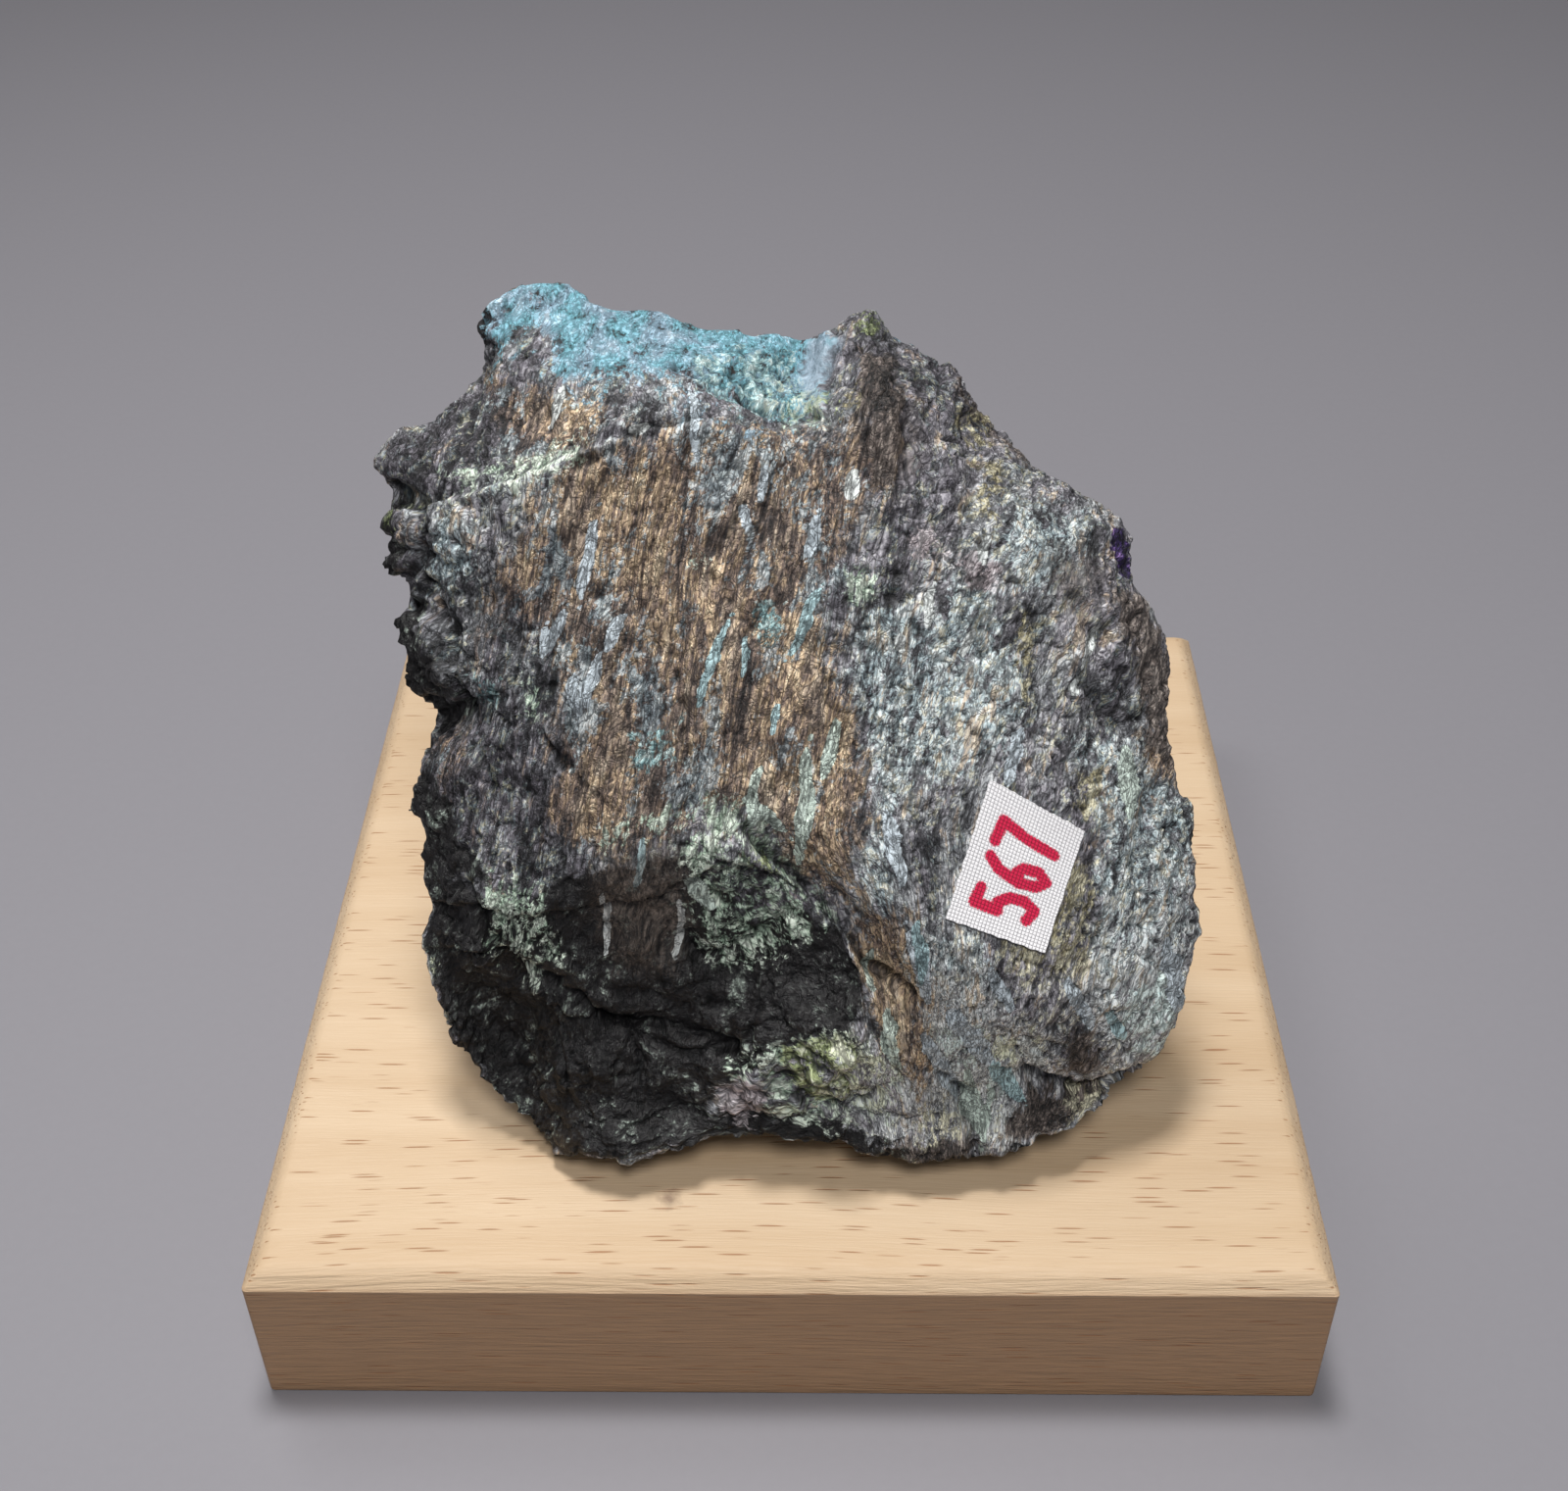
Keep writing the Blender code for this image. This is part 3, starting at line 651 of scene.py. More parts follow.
def mineral_zones(face, pixels, shown, behind):
    """How far each point lies in each mineral: traced where the photograph shows it, scattered behind."""
    wander = np.column_stack((rough(face / 3.5, 51, 4, 0.6), rough(face / 3.5, 61, 4, 0.6)))
    traced = pixels + EDGE_WANDER * wander
    zones = {name: zone(traced, name) * shown for name in ZONES}
    crust = smooth_step(58, 70, face[:, 1]) * smooth_step(-0.1, 0.3, rough(face / 9, 91, 3))
    hidden = {
        "black": behind * smooth_step(-0.15, 0.35, rough(face / 11, 71, 3)),
        "bronze": behind * smooth_step(0.05, 0.4, rough(face / 14, 81, 3)),
        "turquoise": behind * crust * 0.8,
        "granular": behind * smooth_step(-0.1, 0.4, rough(face / 8, 95, 3)),
    }
    for name, amount in hidden.items():
        zones[name] = np.maximum(zones[name], amount)
    traced = pixels + LENS_WANDER * wander
    for colour, lenses in LENSES.items():
        zones[colour] = np.maximum.reduce([lens_shape(traced, *lens) * shown for lens in lenses])
    zones["crust"] = np.maximum(zones["turquoise"], 0.42 * zones["turquoise_dust"])
    # The foot: the lower front, lightened in colour as painted light where the lamps reach it less
    zones["foot"] = shown * smooth_step(30, 6, face[:, 1]) * smooth_step(1, 9, face[:, 0])
    return zones


def add_fibres(height, grain, fibrous):
    """Fibres, the splinters where layers of them end, and long thin cracks between them."""
    height += FIBRE_HEIGHT * fibrous * ripple(grain * (0.95, 0.085, 0.95), 11)
    height += STRAND_HEIGHT * fibrous * ripple(grain * (1.8, 0.20, 1.8), 12)
    sheets = 3.4 * ripple(grain * (0.22, 0.06, 0.16), 13) + 1.8 * ripple(grain * (0.6, 0.14, 0.5), 14)
    height += SPLINTER_HEIGHT * fibrous * (stairs(sheets, 0.80) - sheets * 0.6)
    crack = np.exp(-((ripple(grain * (0.34, 0.07, 0.34), 15) / 0.05) ** 2))
    height -= FIBRE_CRACK_DEPTH * fibrous * crack


def add_lumps(height, face, pixels, zones, powdery):
    """Crumbly lumps, the mottled and crazed rock, and the crinkled turquoise."""
    granular = zones["granular"]
    near, next_near, tag = pebbles(face / LUMP_SIZE, 21)
    lumps = (0.35 + 0.9 * tag) * np.sqrt(np.clip(1.15 * (next_near - near), 0, 1))
    near, next_near, tag = pebbles(face / SMALL_LUMP_SIZE, 22)
    small = (0.3 + tag) * np.sqrt(np.clip(next_near - near, 0, 1))
    coarse = 1.25 - 0.6 * zones["black"] * smooth_step(900, 960, pixels[:, 1])
    height += granular * (coarse * (lumps - 0.42) + SMALL_LUMP_HEIGHT * (small - 0.4))
    mottled = (1 - granular) * (1 - zones["bronze"]) * (1 - 0.7 * powdery)
    height += mottled * (0.12 * (small - 0.4) + MOTTLE_HEIGHT * rough(face / 2.2, 23, 3, 0.6))
    crazed = np.exp(-((rough(face / 3.2, 24, 2) / 0.045) ** 2))
    height -= CRAZE_DEPTH * (1 - powdery) * (1 - 0.8 * zones["bronze"]) * crazed
    folds = CRINKLE_HEIGHT * (0.3 - np.abs(rough(face / 2.6, 26, 3, 0.6))) + 0.5 * rough(face / 1.2, 27, 2)
    height += zones["teal"] * zones["turquoise"] * folds


def add_strata(height, face, powdery, behind):
    """General unevenness, and strata on the broken sides and back."""
    height += UNEVENNESS * rough(face / 5.0, 31, 5, 0.56) * (1 - 0.5 * powdery)
    layers = face[:, 2] / STRATUM_THICKNESS + 1.1 * rough(face / 7, 33, 3)
    height += behind * STRATUM_HEIGHT * (stairs(layers, 0.6) - layers)
    height += behind * BACK_ROUGHNESS * rough(face / 2.0, 34, 3)


def add_traced_lines(height, face, pixels, scale, shown):
    """The grooves and ledges."""
    wander = 1 + 0.6 * ripple(face / 1.7, 41)
    for line, depth, half_width in GROOVES:
        away, _ = line_distance(pixels, in_pairs(line))
        height -= shown * depth * wander * np.exp(-((away * scale / half_width) ** 2))
    sway = 0.5 * ripple(face / 2.0, 43)
    for line, rise, reach in LEDGES:
        away, side = line_distance(pixels, in_pairs(line))
        away = away * scale * side + sway
        step = np.where(away > 0, np.exp(-np.clip(away, 0, None) / reach), 0) * smooth_step(0.0, 0.35, away)
        height += shown * rise * step


def seated(points, bed, pixels, view):
    """Lays the label's bed flat, keeps the stone above the block and draws its front rim clear of it."""
    face = in_face_frame(points)
    proud = face[:, 2] - label_plane(face[:, 0], face[:, 1]) - PLAY
    drop = np.clip(proud, 0, None) * (bed * smooth_step(0.9, 1.0, bed))
    points = points - face_axes()[2] * drop[:, None]
    points[:, 2] = np.maximum(points[:, 2], REST_HEIGHT - PLAY)
    # The rim is drawn up along the lines of sight, so that it looks the same from the camera
    low = 1 - smooth_step(0, RIM_REACH, points[:, 2] - REST_HEIGHT)
    lift = RIM_LIFT * low * smooth_step(*RIM_FRONT, -points[:, 1]) * smooth_step(*RIM_COLUMNS, pixels[:, 0])
    return points + view * (lift / np.maximum(view[:, 2], 0.5))[:, None]


def raised_share(height, edges):
    """0.5 on even ground, up to 1 on small forms and down to 0 in hollows."""
    level = height[:, None].copy()
    for _ in range(LEVEL_ROUNDS):
        level = 0.5 * level + 0.5 * neighbour_mean(level, edges, len(level))
    return np.clip(0.5 + RAISED_GAIN * (height - level[:, 0]), 0, 1)


def stone():
    """The whole stone: relief in its mesh, and as attributes where each mineral lies and where light and
    shade are painted.
    """
    mesh = fine_stone_mesh(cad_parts["valleriite_specimen"])
    world, edges = mesh_arrays(mesh)
    world /= MM
    face = in_face_frame(world)
    grain = fibre_frame(face)
    pixels = seen_at(world)
    normals = vertex_normals(mesh)
    outward = normals @ face_axes()[2]
    view = np.array(CAMERA_PLACE) - world
    view /= np.linalg.norm(view, axis=1)[:, None]
    shown = smooth_step(*SHOWN_TURN, np.sum(normals * view, axis=1))
    behind = 1 - smooth_step(*FRONT_TURN, outward)
    bed = label_bed(face[:, 0], face[:, 1]) * smooth_step(*BED_TURN, outward)
    zones = mineral_zones(face, pixels, shown, behind)

    fibrous = np.maximum(zones["bronze"], zones["mauve"])
    fibrous = np.maximum.reduce([fibrous, 0.9 * zones["dark"], 0.7 * zones["polished"]])
    fibrous = (0.25 + 0.75 * fibrous) * (1 - 0.75 * zones["granular"]) * (1 - 0.8 * zones["turquoise"])
    smooth_skin = np.maximum(zones["polished"], zones["smooth_blue"])
    powdery = np.maximum(zones["turquoise"] * (1 - 0.8 * zones["teal"]), smooth_skin)
    height = np.zeros(len(face))
    add_fibres(height, grain, fibrous)
    add_lumps(height, face, pixels, zones, powdery)
    add_strata(height, face, powdery, behind)
    add_traced_lines(height, face, pixels, pixel_size(world), shown)
    height *= 1 - bed
    set_points(mesh, seated(world + normals * height[:, None], bed, pixels, view) * MM)

    # The relief share goes into the colour as a painted highlight on small forms and painted shade in hollows
    zones["relief_light_and_shade"] = raised_share(height, edges)
    add_vector(mesh, "grain", grain)
    for name, parts in CHANNELS.items():
        add_colour(mesh, name, *(zones[part] for part in parts))
    mesh.shade_smooth()
    mesh.materials.clear()
    mesh.materials.append(stone_material())
    piece = add_object("valleriite_rock", mesh)
    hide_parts("valleriite_specimen")
    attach(piece, "root")


def add_vector(mesh, name, values):
    attribute = mesh.attributes.new(name, "FLOAT_VECTOR", "POINT")
    attribute.data.foreach_set("vector", values.astype(np.float32).ravel())


def add_colour(mesh, name, *channels):
    attribute = mesh.attributes.new(name, "FLOAT_COLOR", "POINT")
    attribute.data.foreach_set("color", np.stack(channels, axis=1).astype(np.float32).ravel())


# The mix node's sockets for colours: the share, the two colours and the result
MIX_SHARE, MIX_FIRST, MIX_SECOND, MIX_RESULT = 0, 6, 7, 2


class Graph:
    """A material under construction. Each method adds one node and returns its output."""

    def __init__(self, name):
        self.material = bpy.data.materials.new(name)
        self.material.use_nodes = True
        self.tree = self.material.node_tree
        self.shader = self.tree.nodes["Principled BSDF"]

    def put(self, value, socket):
        if isinstance(value, bpy.types.NodeSocket):
            self.tree.links.new(value, socket)
        elif isinstance(value, tuple) and len(value) == 3 and socket.type == "RGBA":
            socket.default_value = (*value, 1)
        else:
            socket.default_value = value

    def node(self, kind, inputs=(), **settings):
        made = self.tree.nodes.new(kind)
        for name, value in settings.items():
            setattr(made, name, value)
        for name, value in dict(inputs).items():
            self.put(value, made.inputs[name])
        return made

    def attribute(self, name):
        return self.node("ShaderNodeAttribute", attribute_name=name)

    def channels(self, name):
        """The four channels of a colour attribute."""
        source = self.attribute(name)
        split = self.node("ShaderNodeSeparateColor", {"Color": source.outputs["Color"]})
        return (*split.outputs, source.outputs["Alpha"])

    def place(self):
        """The point on the object, in millimetres."""
        return self.stretch(self.node("ShaderNodeTexCoord").outputs["Object"], (1 / MM,) * 3)

    def vector_calc(self, operation, first, second, output="Vector"):
        made = self.node("ShaderNodeVectorMath", operation=operation)
        self.put(first, made.inputs[0])
        self.put(second, made.inputs[1])
        return made.outputs[output]

    def stretch(self, vector, scale):
        return self.vector_calc("MULTIPLY", vector, scale)

    def shift(self, vector, by):
        return self.vector_calc("ADD", vector, by)

    def noise(self, vector, scale, detail=2.0, roughness=0.5, distortion=0.0):
        values = {"Vector": self.stretch(vector, scale), "Scale": 1.0, "Detail": detail,
                  "Roughness": roughness, "Distortion": distortion}
        return self.node("ShaderNodeTexNoise", values).outputs["Fac"]

    def noise_colour(self, vector, scale, detail=2.0):
        values = {"Vector": self.stretch(vector, scale), "Scale": 1.0, "Detail": detail}
        return self.node("ShaderNodeTexNoise", values).outputs["Color"]

    def cells(self, vector, scale):
        values = {"Vector": self.stretch(vector, scale), "Scale": 1.0}
        return self.node("ShaderNodeTexVoronoi", values).outputs

    def calc(self, operation, *values):
        made = self.node("ShaderNodeMath", operation=operation)
        for value, socket in zip(values, made.inputs):
            self.put(value, socket)
        return made.outputs["Value"]

    def times(self, *values):
        """The product of several values."""
        total = values[0]
        for value in values[1:]:
            total = self.calc("MULTIPLY", total, value)
        return total

    def within(self, value, low, high):
        """0 at low and 1 at high, held there beyond them."""
        values = {"Value": value, "From Min": low, "From Max": high}
        return self.node("ShaderNodeMapRange", values, clamp=True).outputs["Result"]

    def ragged(self, mask, noise, amount, width):
        """A mask whose soft edge is broken up by noise."""
        pushed = self.calc("MULTIPLY_ADD", self.calc("SUBTRACT", noise, 0.5), amount, mask)
        return self.within(pushed, 0.5 - width, 0.5 + width)

    def stain(self, mask, cover, noise, push):
        """How far a patchy stain covers the stone, from its place and the share that it covers there."""
        spread = self.times(self.calc("SUBTRACT", noise, 0.5), push, self.within(mask, 0.0, 0.3))
        return self.within(self.calc("ADD", spread, self.times(mask, cover)), 0.42, 0.60)

    def lines(self, vector, scale, width):
        """0 along thin wandering lines and 1 between them."""
        off = self.calc("SUBTRACT", self.noise(vector, scale, 2, 0.55, 0.8), 0.5)
        return self.within(self.calc("ABSOLUTE", off), 0.0, width)

    def ramp(self, value, stops):
        made = self.node("ShaderNodeValToRGB", {"Fac": value})
        elements = made.color_ramp.elements
        for element, (position, colour) in zip(elements, (stops[0], stops[-1])):
            element.position = position
            element.color = (*colour, 1)
        for position, colour in stops[1:-1]:
            elements.new(position).color = (*colour, 1)
        return made.outputs["Color"]

    def blend(self, first, second, share):
        made = self.node("ShaderNodeMix", data_type="RGBA")
        self.put(share, made.inputs[MIX_SHARE])
        self.put(first, made.inputs[MIX_FIRST])
        self.put(second, made.inputs[MIX_SECOND])
        return made.outputs[MIX_RESULT]

    def weigh(self, *pairs):
        """The weighted sum of several values."""
        total = 0.0
        for value, weight in pairs:
            total = self.calc("ADD", total, self.times(value, weight))
        return total

    def bump(self, height, depth_mm, normal=None):
        values = {"Height": height, "Strength": 1.0, "Distance": depth_mm * MM}
        if normal is not None:
            values["Normal"] = normal
        return self.node("ShaderNodeBump", values).outputs["Normal"]


# Mineral colours, dark to bright, as linear reflectances
BRONZE = (
    (0.26, (0.020, 0.016, 0.016)), (0.40, (0.125, 0.094, 0.085)), (0.52, (0.33, 0.242, 0.19)),
    (0.64, (0.69, 0.51, 0.335)), (0.78, (1.0, 0.82, 0.58)),
)
GREY = (
    (0.28, (0.014, 0.014, 0.016)), (0.41, (0.10, 0.102, 0.112)), (0.52, (0.25, 0.257, 0.275)),
    (0.64, (0.54, 0.56, 0.58)), (0.78, (0.94, 0.97, 0.97)),
)
MAUVE = (
    (0.28, (0.018, 0.017, 0.020)), (0.41, (0.122, 0.114, 0.132)), (0.52, (0.275, 0.262, 0.295)),
    (0.64, (0.53, 0.51, 0.55)), (0.78, (0.91, 0.90, 0.92)),
)
SEA_GREY = (
    (0.26, (0.020, 0.032, 0.038)), (0.39, (0.17, 0.23, 0.26)), (0.50, (0.40, 0.51, 0.55)),
    (0.62, (0.72, 0.84, 0.85)), (0.76, (0.97, 1.0, 0.99)),
)
TURQUOISE = (
    (0.22, (0.018, 0.045, 0.050)), (0.34, (0.075, 0.21, 0.24)), (0.46, (0.18, 0.43, 0.51)),
    (0.62, (0.32, 0.62, 0.76)), (0.84, (0.64, 0.86, 0.96)),
)
POWDER = (
    (0.22, (0.05, 0.06, 0.075)), (0.37, (0.20, 0.32, 0.41)), (0.54, (0.39, 0.56, 0.69)),
    (0.78, (0.74, 0.86, 0.95)),
)
BLACK = (
    (0.36, (0.003, 0.003, 0.003)), (0.53, (0.013, 0.011, 0.012)), (0.65, (0.055, 0.056, 0.055)),
    (0.80, (0.46, 0.54, 0.47)),
)
OLIVE = (
    (0.30, (0.035, 0.031, 0.020)), (0.46, (0.18, 0.16, 0.090)), (0.60, (0.46, 0.41, 0.25)),
    (0.76, (0.92, 0.88, 0.66)),
)
LIME = (
    (0.29, (0.012, 0.018, 0.010)), (0.42, (0.13, 0.16, 0.07)), (0.55, (0.52, 0.60, 0.30)),
    (0.71, (0.97, 1.0, 0.78)),
)
MALACHITE = (
    (0.28, (0.012, 0.018, 0.012)), (0.41, (0.10, 0.145, 0.105)), (0.54, (0.42, 0.56, 0.43)),
    (0.71, (0.90, 1.0, 0.86)),
)
TEAL = (
    (0.30, (0.012, 0.033, 0.040)), (0.44, (0.105, 0.21, 0.235)), (0.57, (0.37, 0.58, 0.59)),
    (0.74, (0.86, 1.0, 0.97)),
)
PINKISH = ((0.28, (0.07, 0.055, 0.060)), (0.50, (0.52, 0.45, 0.47)), (0.74, (0.98, 0.92, 0.94)))
BROWN = ((0.28, (0.018, 0.015, 0.013)), (0.50, (0.155, 0.125, 0.112)), (0.74, (0.52, 0.45, 0.40)))
PURPLE = ((0.40, (0.006, 0.004, 0.016)), (0.60, (0.06, 0.03, 0.16)), (0.74, (0.65, 0.40, 0.95)))
LENS_COLOURS = ((0.76, 0.86, 0.93), (0.58, 0.82, 0.86), (0.82, 0.96, 0.86), (0.95, 1.0, 0.98))
SMOOTH_BLUE = ((0.3, (0.17, 0.21, 0.25)), (0.55, (0.31, 0.385, 0.46)), (0.75, (0.44, 0.53, 0.62)))
# Near black, for thin dark lines and lens rims, and as painted shade in hollows
DARK_LINE_AND_SHADE = (0.006, 0.006, 0.007)
PIT = (0.045, 0.036, 0.032)
WORN_DARK = (0.030, 0.024, 0.022)
WORN_PALE = (0.30, 0.24, 0.20)


def stone_material():
    g = Graph("valleriite_ore")
    grain = g.attribute("grain").outputs["Vector"]
    bronze, turquoise, black, pale = g.channels("minerals")
    olive, lime, malachite, teal = g.channels("stains")
    golden, dark, brown, mauve = g.channels("tones")
    pinkish, flecked, purple, smooth_blue = g.channels("skins")
    lenses = g.channels("lenses")
    granular, polished, relief_light_and_shade, foot = g.channels("texture_and_painted_light")

    # Patterns: fine fibres, strands, flecks, specks, patches, and thin lines between them
    fibres = g.within(g.noise(grain, (3.1, 0.28, 3.1), 4, 0.64, 0.3), 0.33, 0.67)
    strands = g.within(g.noise(grain, (1.6, 0.17, 1.6), 4, 0.60, 0.3), 0.31, 0.69)
    flecks = g.within(g.noise(grain, (2.0, 1.6, 2.0), 5, 0.68, 0.8), 0.33, 0.67)
    specks = g.within(g.noise(grain, (3.6, 2.4, 3.6), 4, 0.68, 0.4), 0.33, 0.67)
    blotches = g.within(g.noise(grain, (0.95, 0.62, 0.95), 6, 0.74, 0.7), 0.33, 0.67)
    patches = g.within(g.noise(grain, (0.42, 0.13, 0.42), 5, 0.62, 0.5), 0.36, 0.64)
    elsewhere = g.shift(grain, (40.0, 7.0, 3.0))
    others = g.within(g.noise(elsewhere, (0.40, 0.14, 0.40), 5, 0.62, 0.5), 0.35, 0.65)
    farther = g.shift(grain, (90.0, 5.0, 9.0))
    hues = g.within(g.noise(farther, (0.75, 0.45, 0.75), 5, 0.7, 0.5), 0.36, 0.64)
    long_lines = g.lines(grain, (1.5, 0.15, 1.5), 0.05)
    curls = g.lines(grain, (1.25, 0.85, 1.25), 0.07)
    cracks = g.lines(grain, (0.46, 0.24, 0.46), 0.022)
    edge_noise = g.weigh((flecks, 0.35), (strands, 0.20), (hues, 0.25), (patches, 0.20))

    # How bright each kind of ground is at each point, as places on its ramp of tones
    # The relief share lightens small forms and darkens hollows, a painted highlight and painted shade; the
    # foot share lightens the lower front, painted light where the lamps reach less.
    metal_level = g.weigh((fibres, 0.34), (strands, 0.16), (specks, 0.10), (blotches, 0.12),
                          (patches, 0.20), (relief_light_and_shade, 0.12), (golden, 0.09), (dark, -0.16), (foot, 0.07))
    grey_level = g.weigh((flecks, 0.15), (specks, 0.12), (blotches, 0.24), (fibres, 0.12), (patches, 0.30),
                         (relief_light_and_shade, 0.14), (dark, -0.10), (foot, 0.17))
    crust_level = g.weigh((flecks, 0.18), (specks, 0.13), (blotches, 0.27), (hues, 0.24), (patches, 0.08),
                          (relief_light_and_shade, 0.15), (pale, 0.06), (foot, 0.28), (dark, -0.06), (malachite, 0.07),
                          (lime, -0.13))
    powder_level = g.weigh((flecks, 0.16), (specks, 0.14), (blotches, 0.22), (hues, 0.30), (relief_light_and_shade, 0.16))
    dark_level = g.weigh((flecks, 0.16), (specks, 0.16), (blotches, 0.20), (hues, 0.22), (patches, 0.20),
                         (relief_light_and_shade, 0.12))

    # Grey and mauve rock, and bronze metal with dull and dusty patches
    grey = g.ramp(grey_level, GREY)
    mauve_share = g.weigh((g.within(others, 0.35, 0.70), 1.0), (pale, -0.5), (mauve, 1.0))
    mauve_level = g.weigh((grey_level, 0.6), (metal_level, 0.38))
    grey = g.blend(grey, g.ramp(mauve_level, MAUVE), g.within(mauve_share, 0.0, 1.0))
    sea = g.ramp(crust_level, SEA_GREY)
    grey = g.blend(grey, sea, g.times(g.within(hues, 0.55, 0.9), 0.5))
    grey = g.blend(grey, sea, g.times(g.stain(pale, 0.62, edge_noise, 1.4), 0.9))
    metal = g.ramp(metal_level, BRONZE)
    dusty = g.within(g.weigh((flecks, 0.40), (others, 0.60), (flecked, 0.16), (golden, -0.12)), 0.63, 0.76)
    dull = g.within(g.weigh((others, 0.7), (blotches, 0.3)), 0.45, 0.30)
    metal = g.blend(metal, g.ramp(metal_level, BROWN), g.times(dull, 0.6))
    metal = g.blend(metal, g.blend(grey, sea, 0.6), g.times(dusty, 0.9))
    bronze_mask = g.ragged(bronze, edge_noise, 1.5, 0.12)
    stray = g.times(g.within(g.weigh((strands, 0.5), (patches, 0.5)), 0.66, 0.76), 0.75)
    colour = g.blend(g.blend(grey, metal, stray), metal, bronze_mask)

    # Stains and crusts on it
    ochre = g.times(g.within(g.weigh((specks, 0.4), (hues, 0.6)), 0.66, 0.78), 0.7)
    colour = g.blend(colour, g.ramp(crust_level, OLIVE), g.times(ochre, g.within(bronze, 0.6, 0.1)))
    powdered = g.within(g.weigh((others, 0.6), (patches, 0.4)), 0.35, 0.7)
    sky = g.blend(g.ramp(powder_level, TURQUOISE), g.ramp(powder_level, POWDER), powdered)
    for mask, tint, cover, push in (
        (brown, g.ramp(metal_level, BROWN), 0.75, 0.9),
        (black, g.ramp(dark_level, BLACK), 1.0, 0.9),
        (olive, g.ramp(crust_level, OLIVE), 0.54, 1.2),
        (turquoise, sky, 0.82, 1.3),
        (teal, g.ramp(crust_level, TEAL), 0.56, 1.4),
        (malachite, g.ramp(crust_level, MALACHITE), 0.55, 1.8),
        (lime, g.ramp(crust_level, LIME), 0.60, 1.5),
        (pinkish, g.ramp(grey_level, PINKISH), 0.72, 1.2),
        (purple, g.ramp(dark_level, PURPLE), 1.0, 0.7),
    ):
        colour = g.blend(colour, tint, g.stain(mask, cover, edge_noise, push))
    pits = g.within(g.weigh((specks, 0.3), (blotches, 0.35), (hues, 0.35)), 0.34, 0.26)
    colour = g.blend(colour, PIT, g.times(turquoise, pits, 0.85))
    channel = g.times(g.ragged(smooth_blue, edge_noise, 0.6, 0.3), 0.85)
    colour = g.blend(colour, g.ramp(crust_level, SMOOTH_BLUE), channel)

    # Lenses with dark rims and veins, and the worn, polished spots
    for mask, tone in zip(lenses, LENS_COLOURS):
        rim = g.times(g.within(mask, 0.06, 0.22), 0.8)
        colour = g.blend(colour, DARK_LINE_AND_SHADE, g.times(rim, g.within(curls, 1.0, 0.0)))
        body = g.ragged(g.within(mask, 0.0, 0.6), g.weigh((fibres, 0.6), (specks, 0.4)), 0.40, 0.07)
        veins = g.within(g.weigh((fibres, 0.6), (flecks, 0.4)), 0.20, 0.50)
        tone = g.blend(tuple(0.42 * c for c in tone), tone, veins)
        colour = g.blend(colour, tone, g.times(body, 0.95))
    streaks = g.within(g.weigh((fibres, 0.6), (strands, 0.4)), 0.3, 0.8)
    colour = g.blend(colour, g.blend(WORN_DARK, WORN_PALE, streaks), g.times(polished, 0.7))

    # Thin dark lines along the fibres and round the grains, and painted shade in the hollows
    crust_share = g.within(g.weigh((turquoise, 0.35), (smooth_blue, 0.8), (polished, 0.4)), 0.0, 1.0)
    lines = g.calc("MAXIMUM", g.times(long_lines, curls, cracks), crust_share)
    clear_of_lines_and_painted_shade = g.times(g.within(lines, -0.25, 0.9), g.within(relief_light_and_shade, -0.30, 0.45))
    colour = g.blend(DARK_LINE_AND_SHADE, colour, clear_of_lines_and_painted_shade)
    g.put(colour, g.shader.inputs["Base Color"])

    shine = g.weigh((fibres, -0.14), (specks, 0.10), (turquoise, 0.30), (black, 0.02), (polished, -0.14))
    g.put(g.within(g.calc("ADD", shine, 0.52), 0.0, 1.0), g.shader.inputs["Roughness"])
    g.shader.inputs["Specular IOR Level"].default_value = 0.38
    metallic = g.times(bronze_mask, g.within(metal_level, 0.35, 1.0))
    g.put(metallic, g.shader.inputs["Metallic"])

    fine = g.weigh((fibres, 0.6), (specks, 0.5), (flecks, 0.5), (lines, 0.5))
    grains = g.cells(grain, (1.9, 1.6, 1.9))["Distance"]
    normal = g.bump(fine, 0.10)
    normal = g.bump(g.times(grains, granular), -0.16, normal)
    g.put(normal, g.shader.inputs["Normal"])
    return g.material


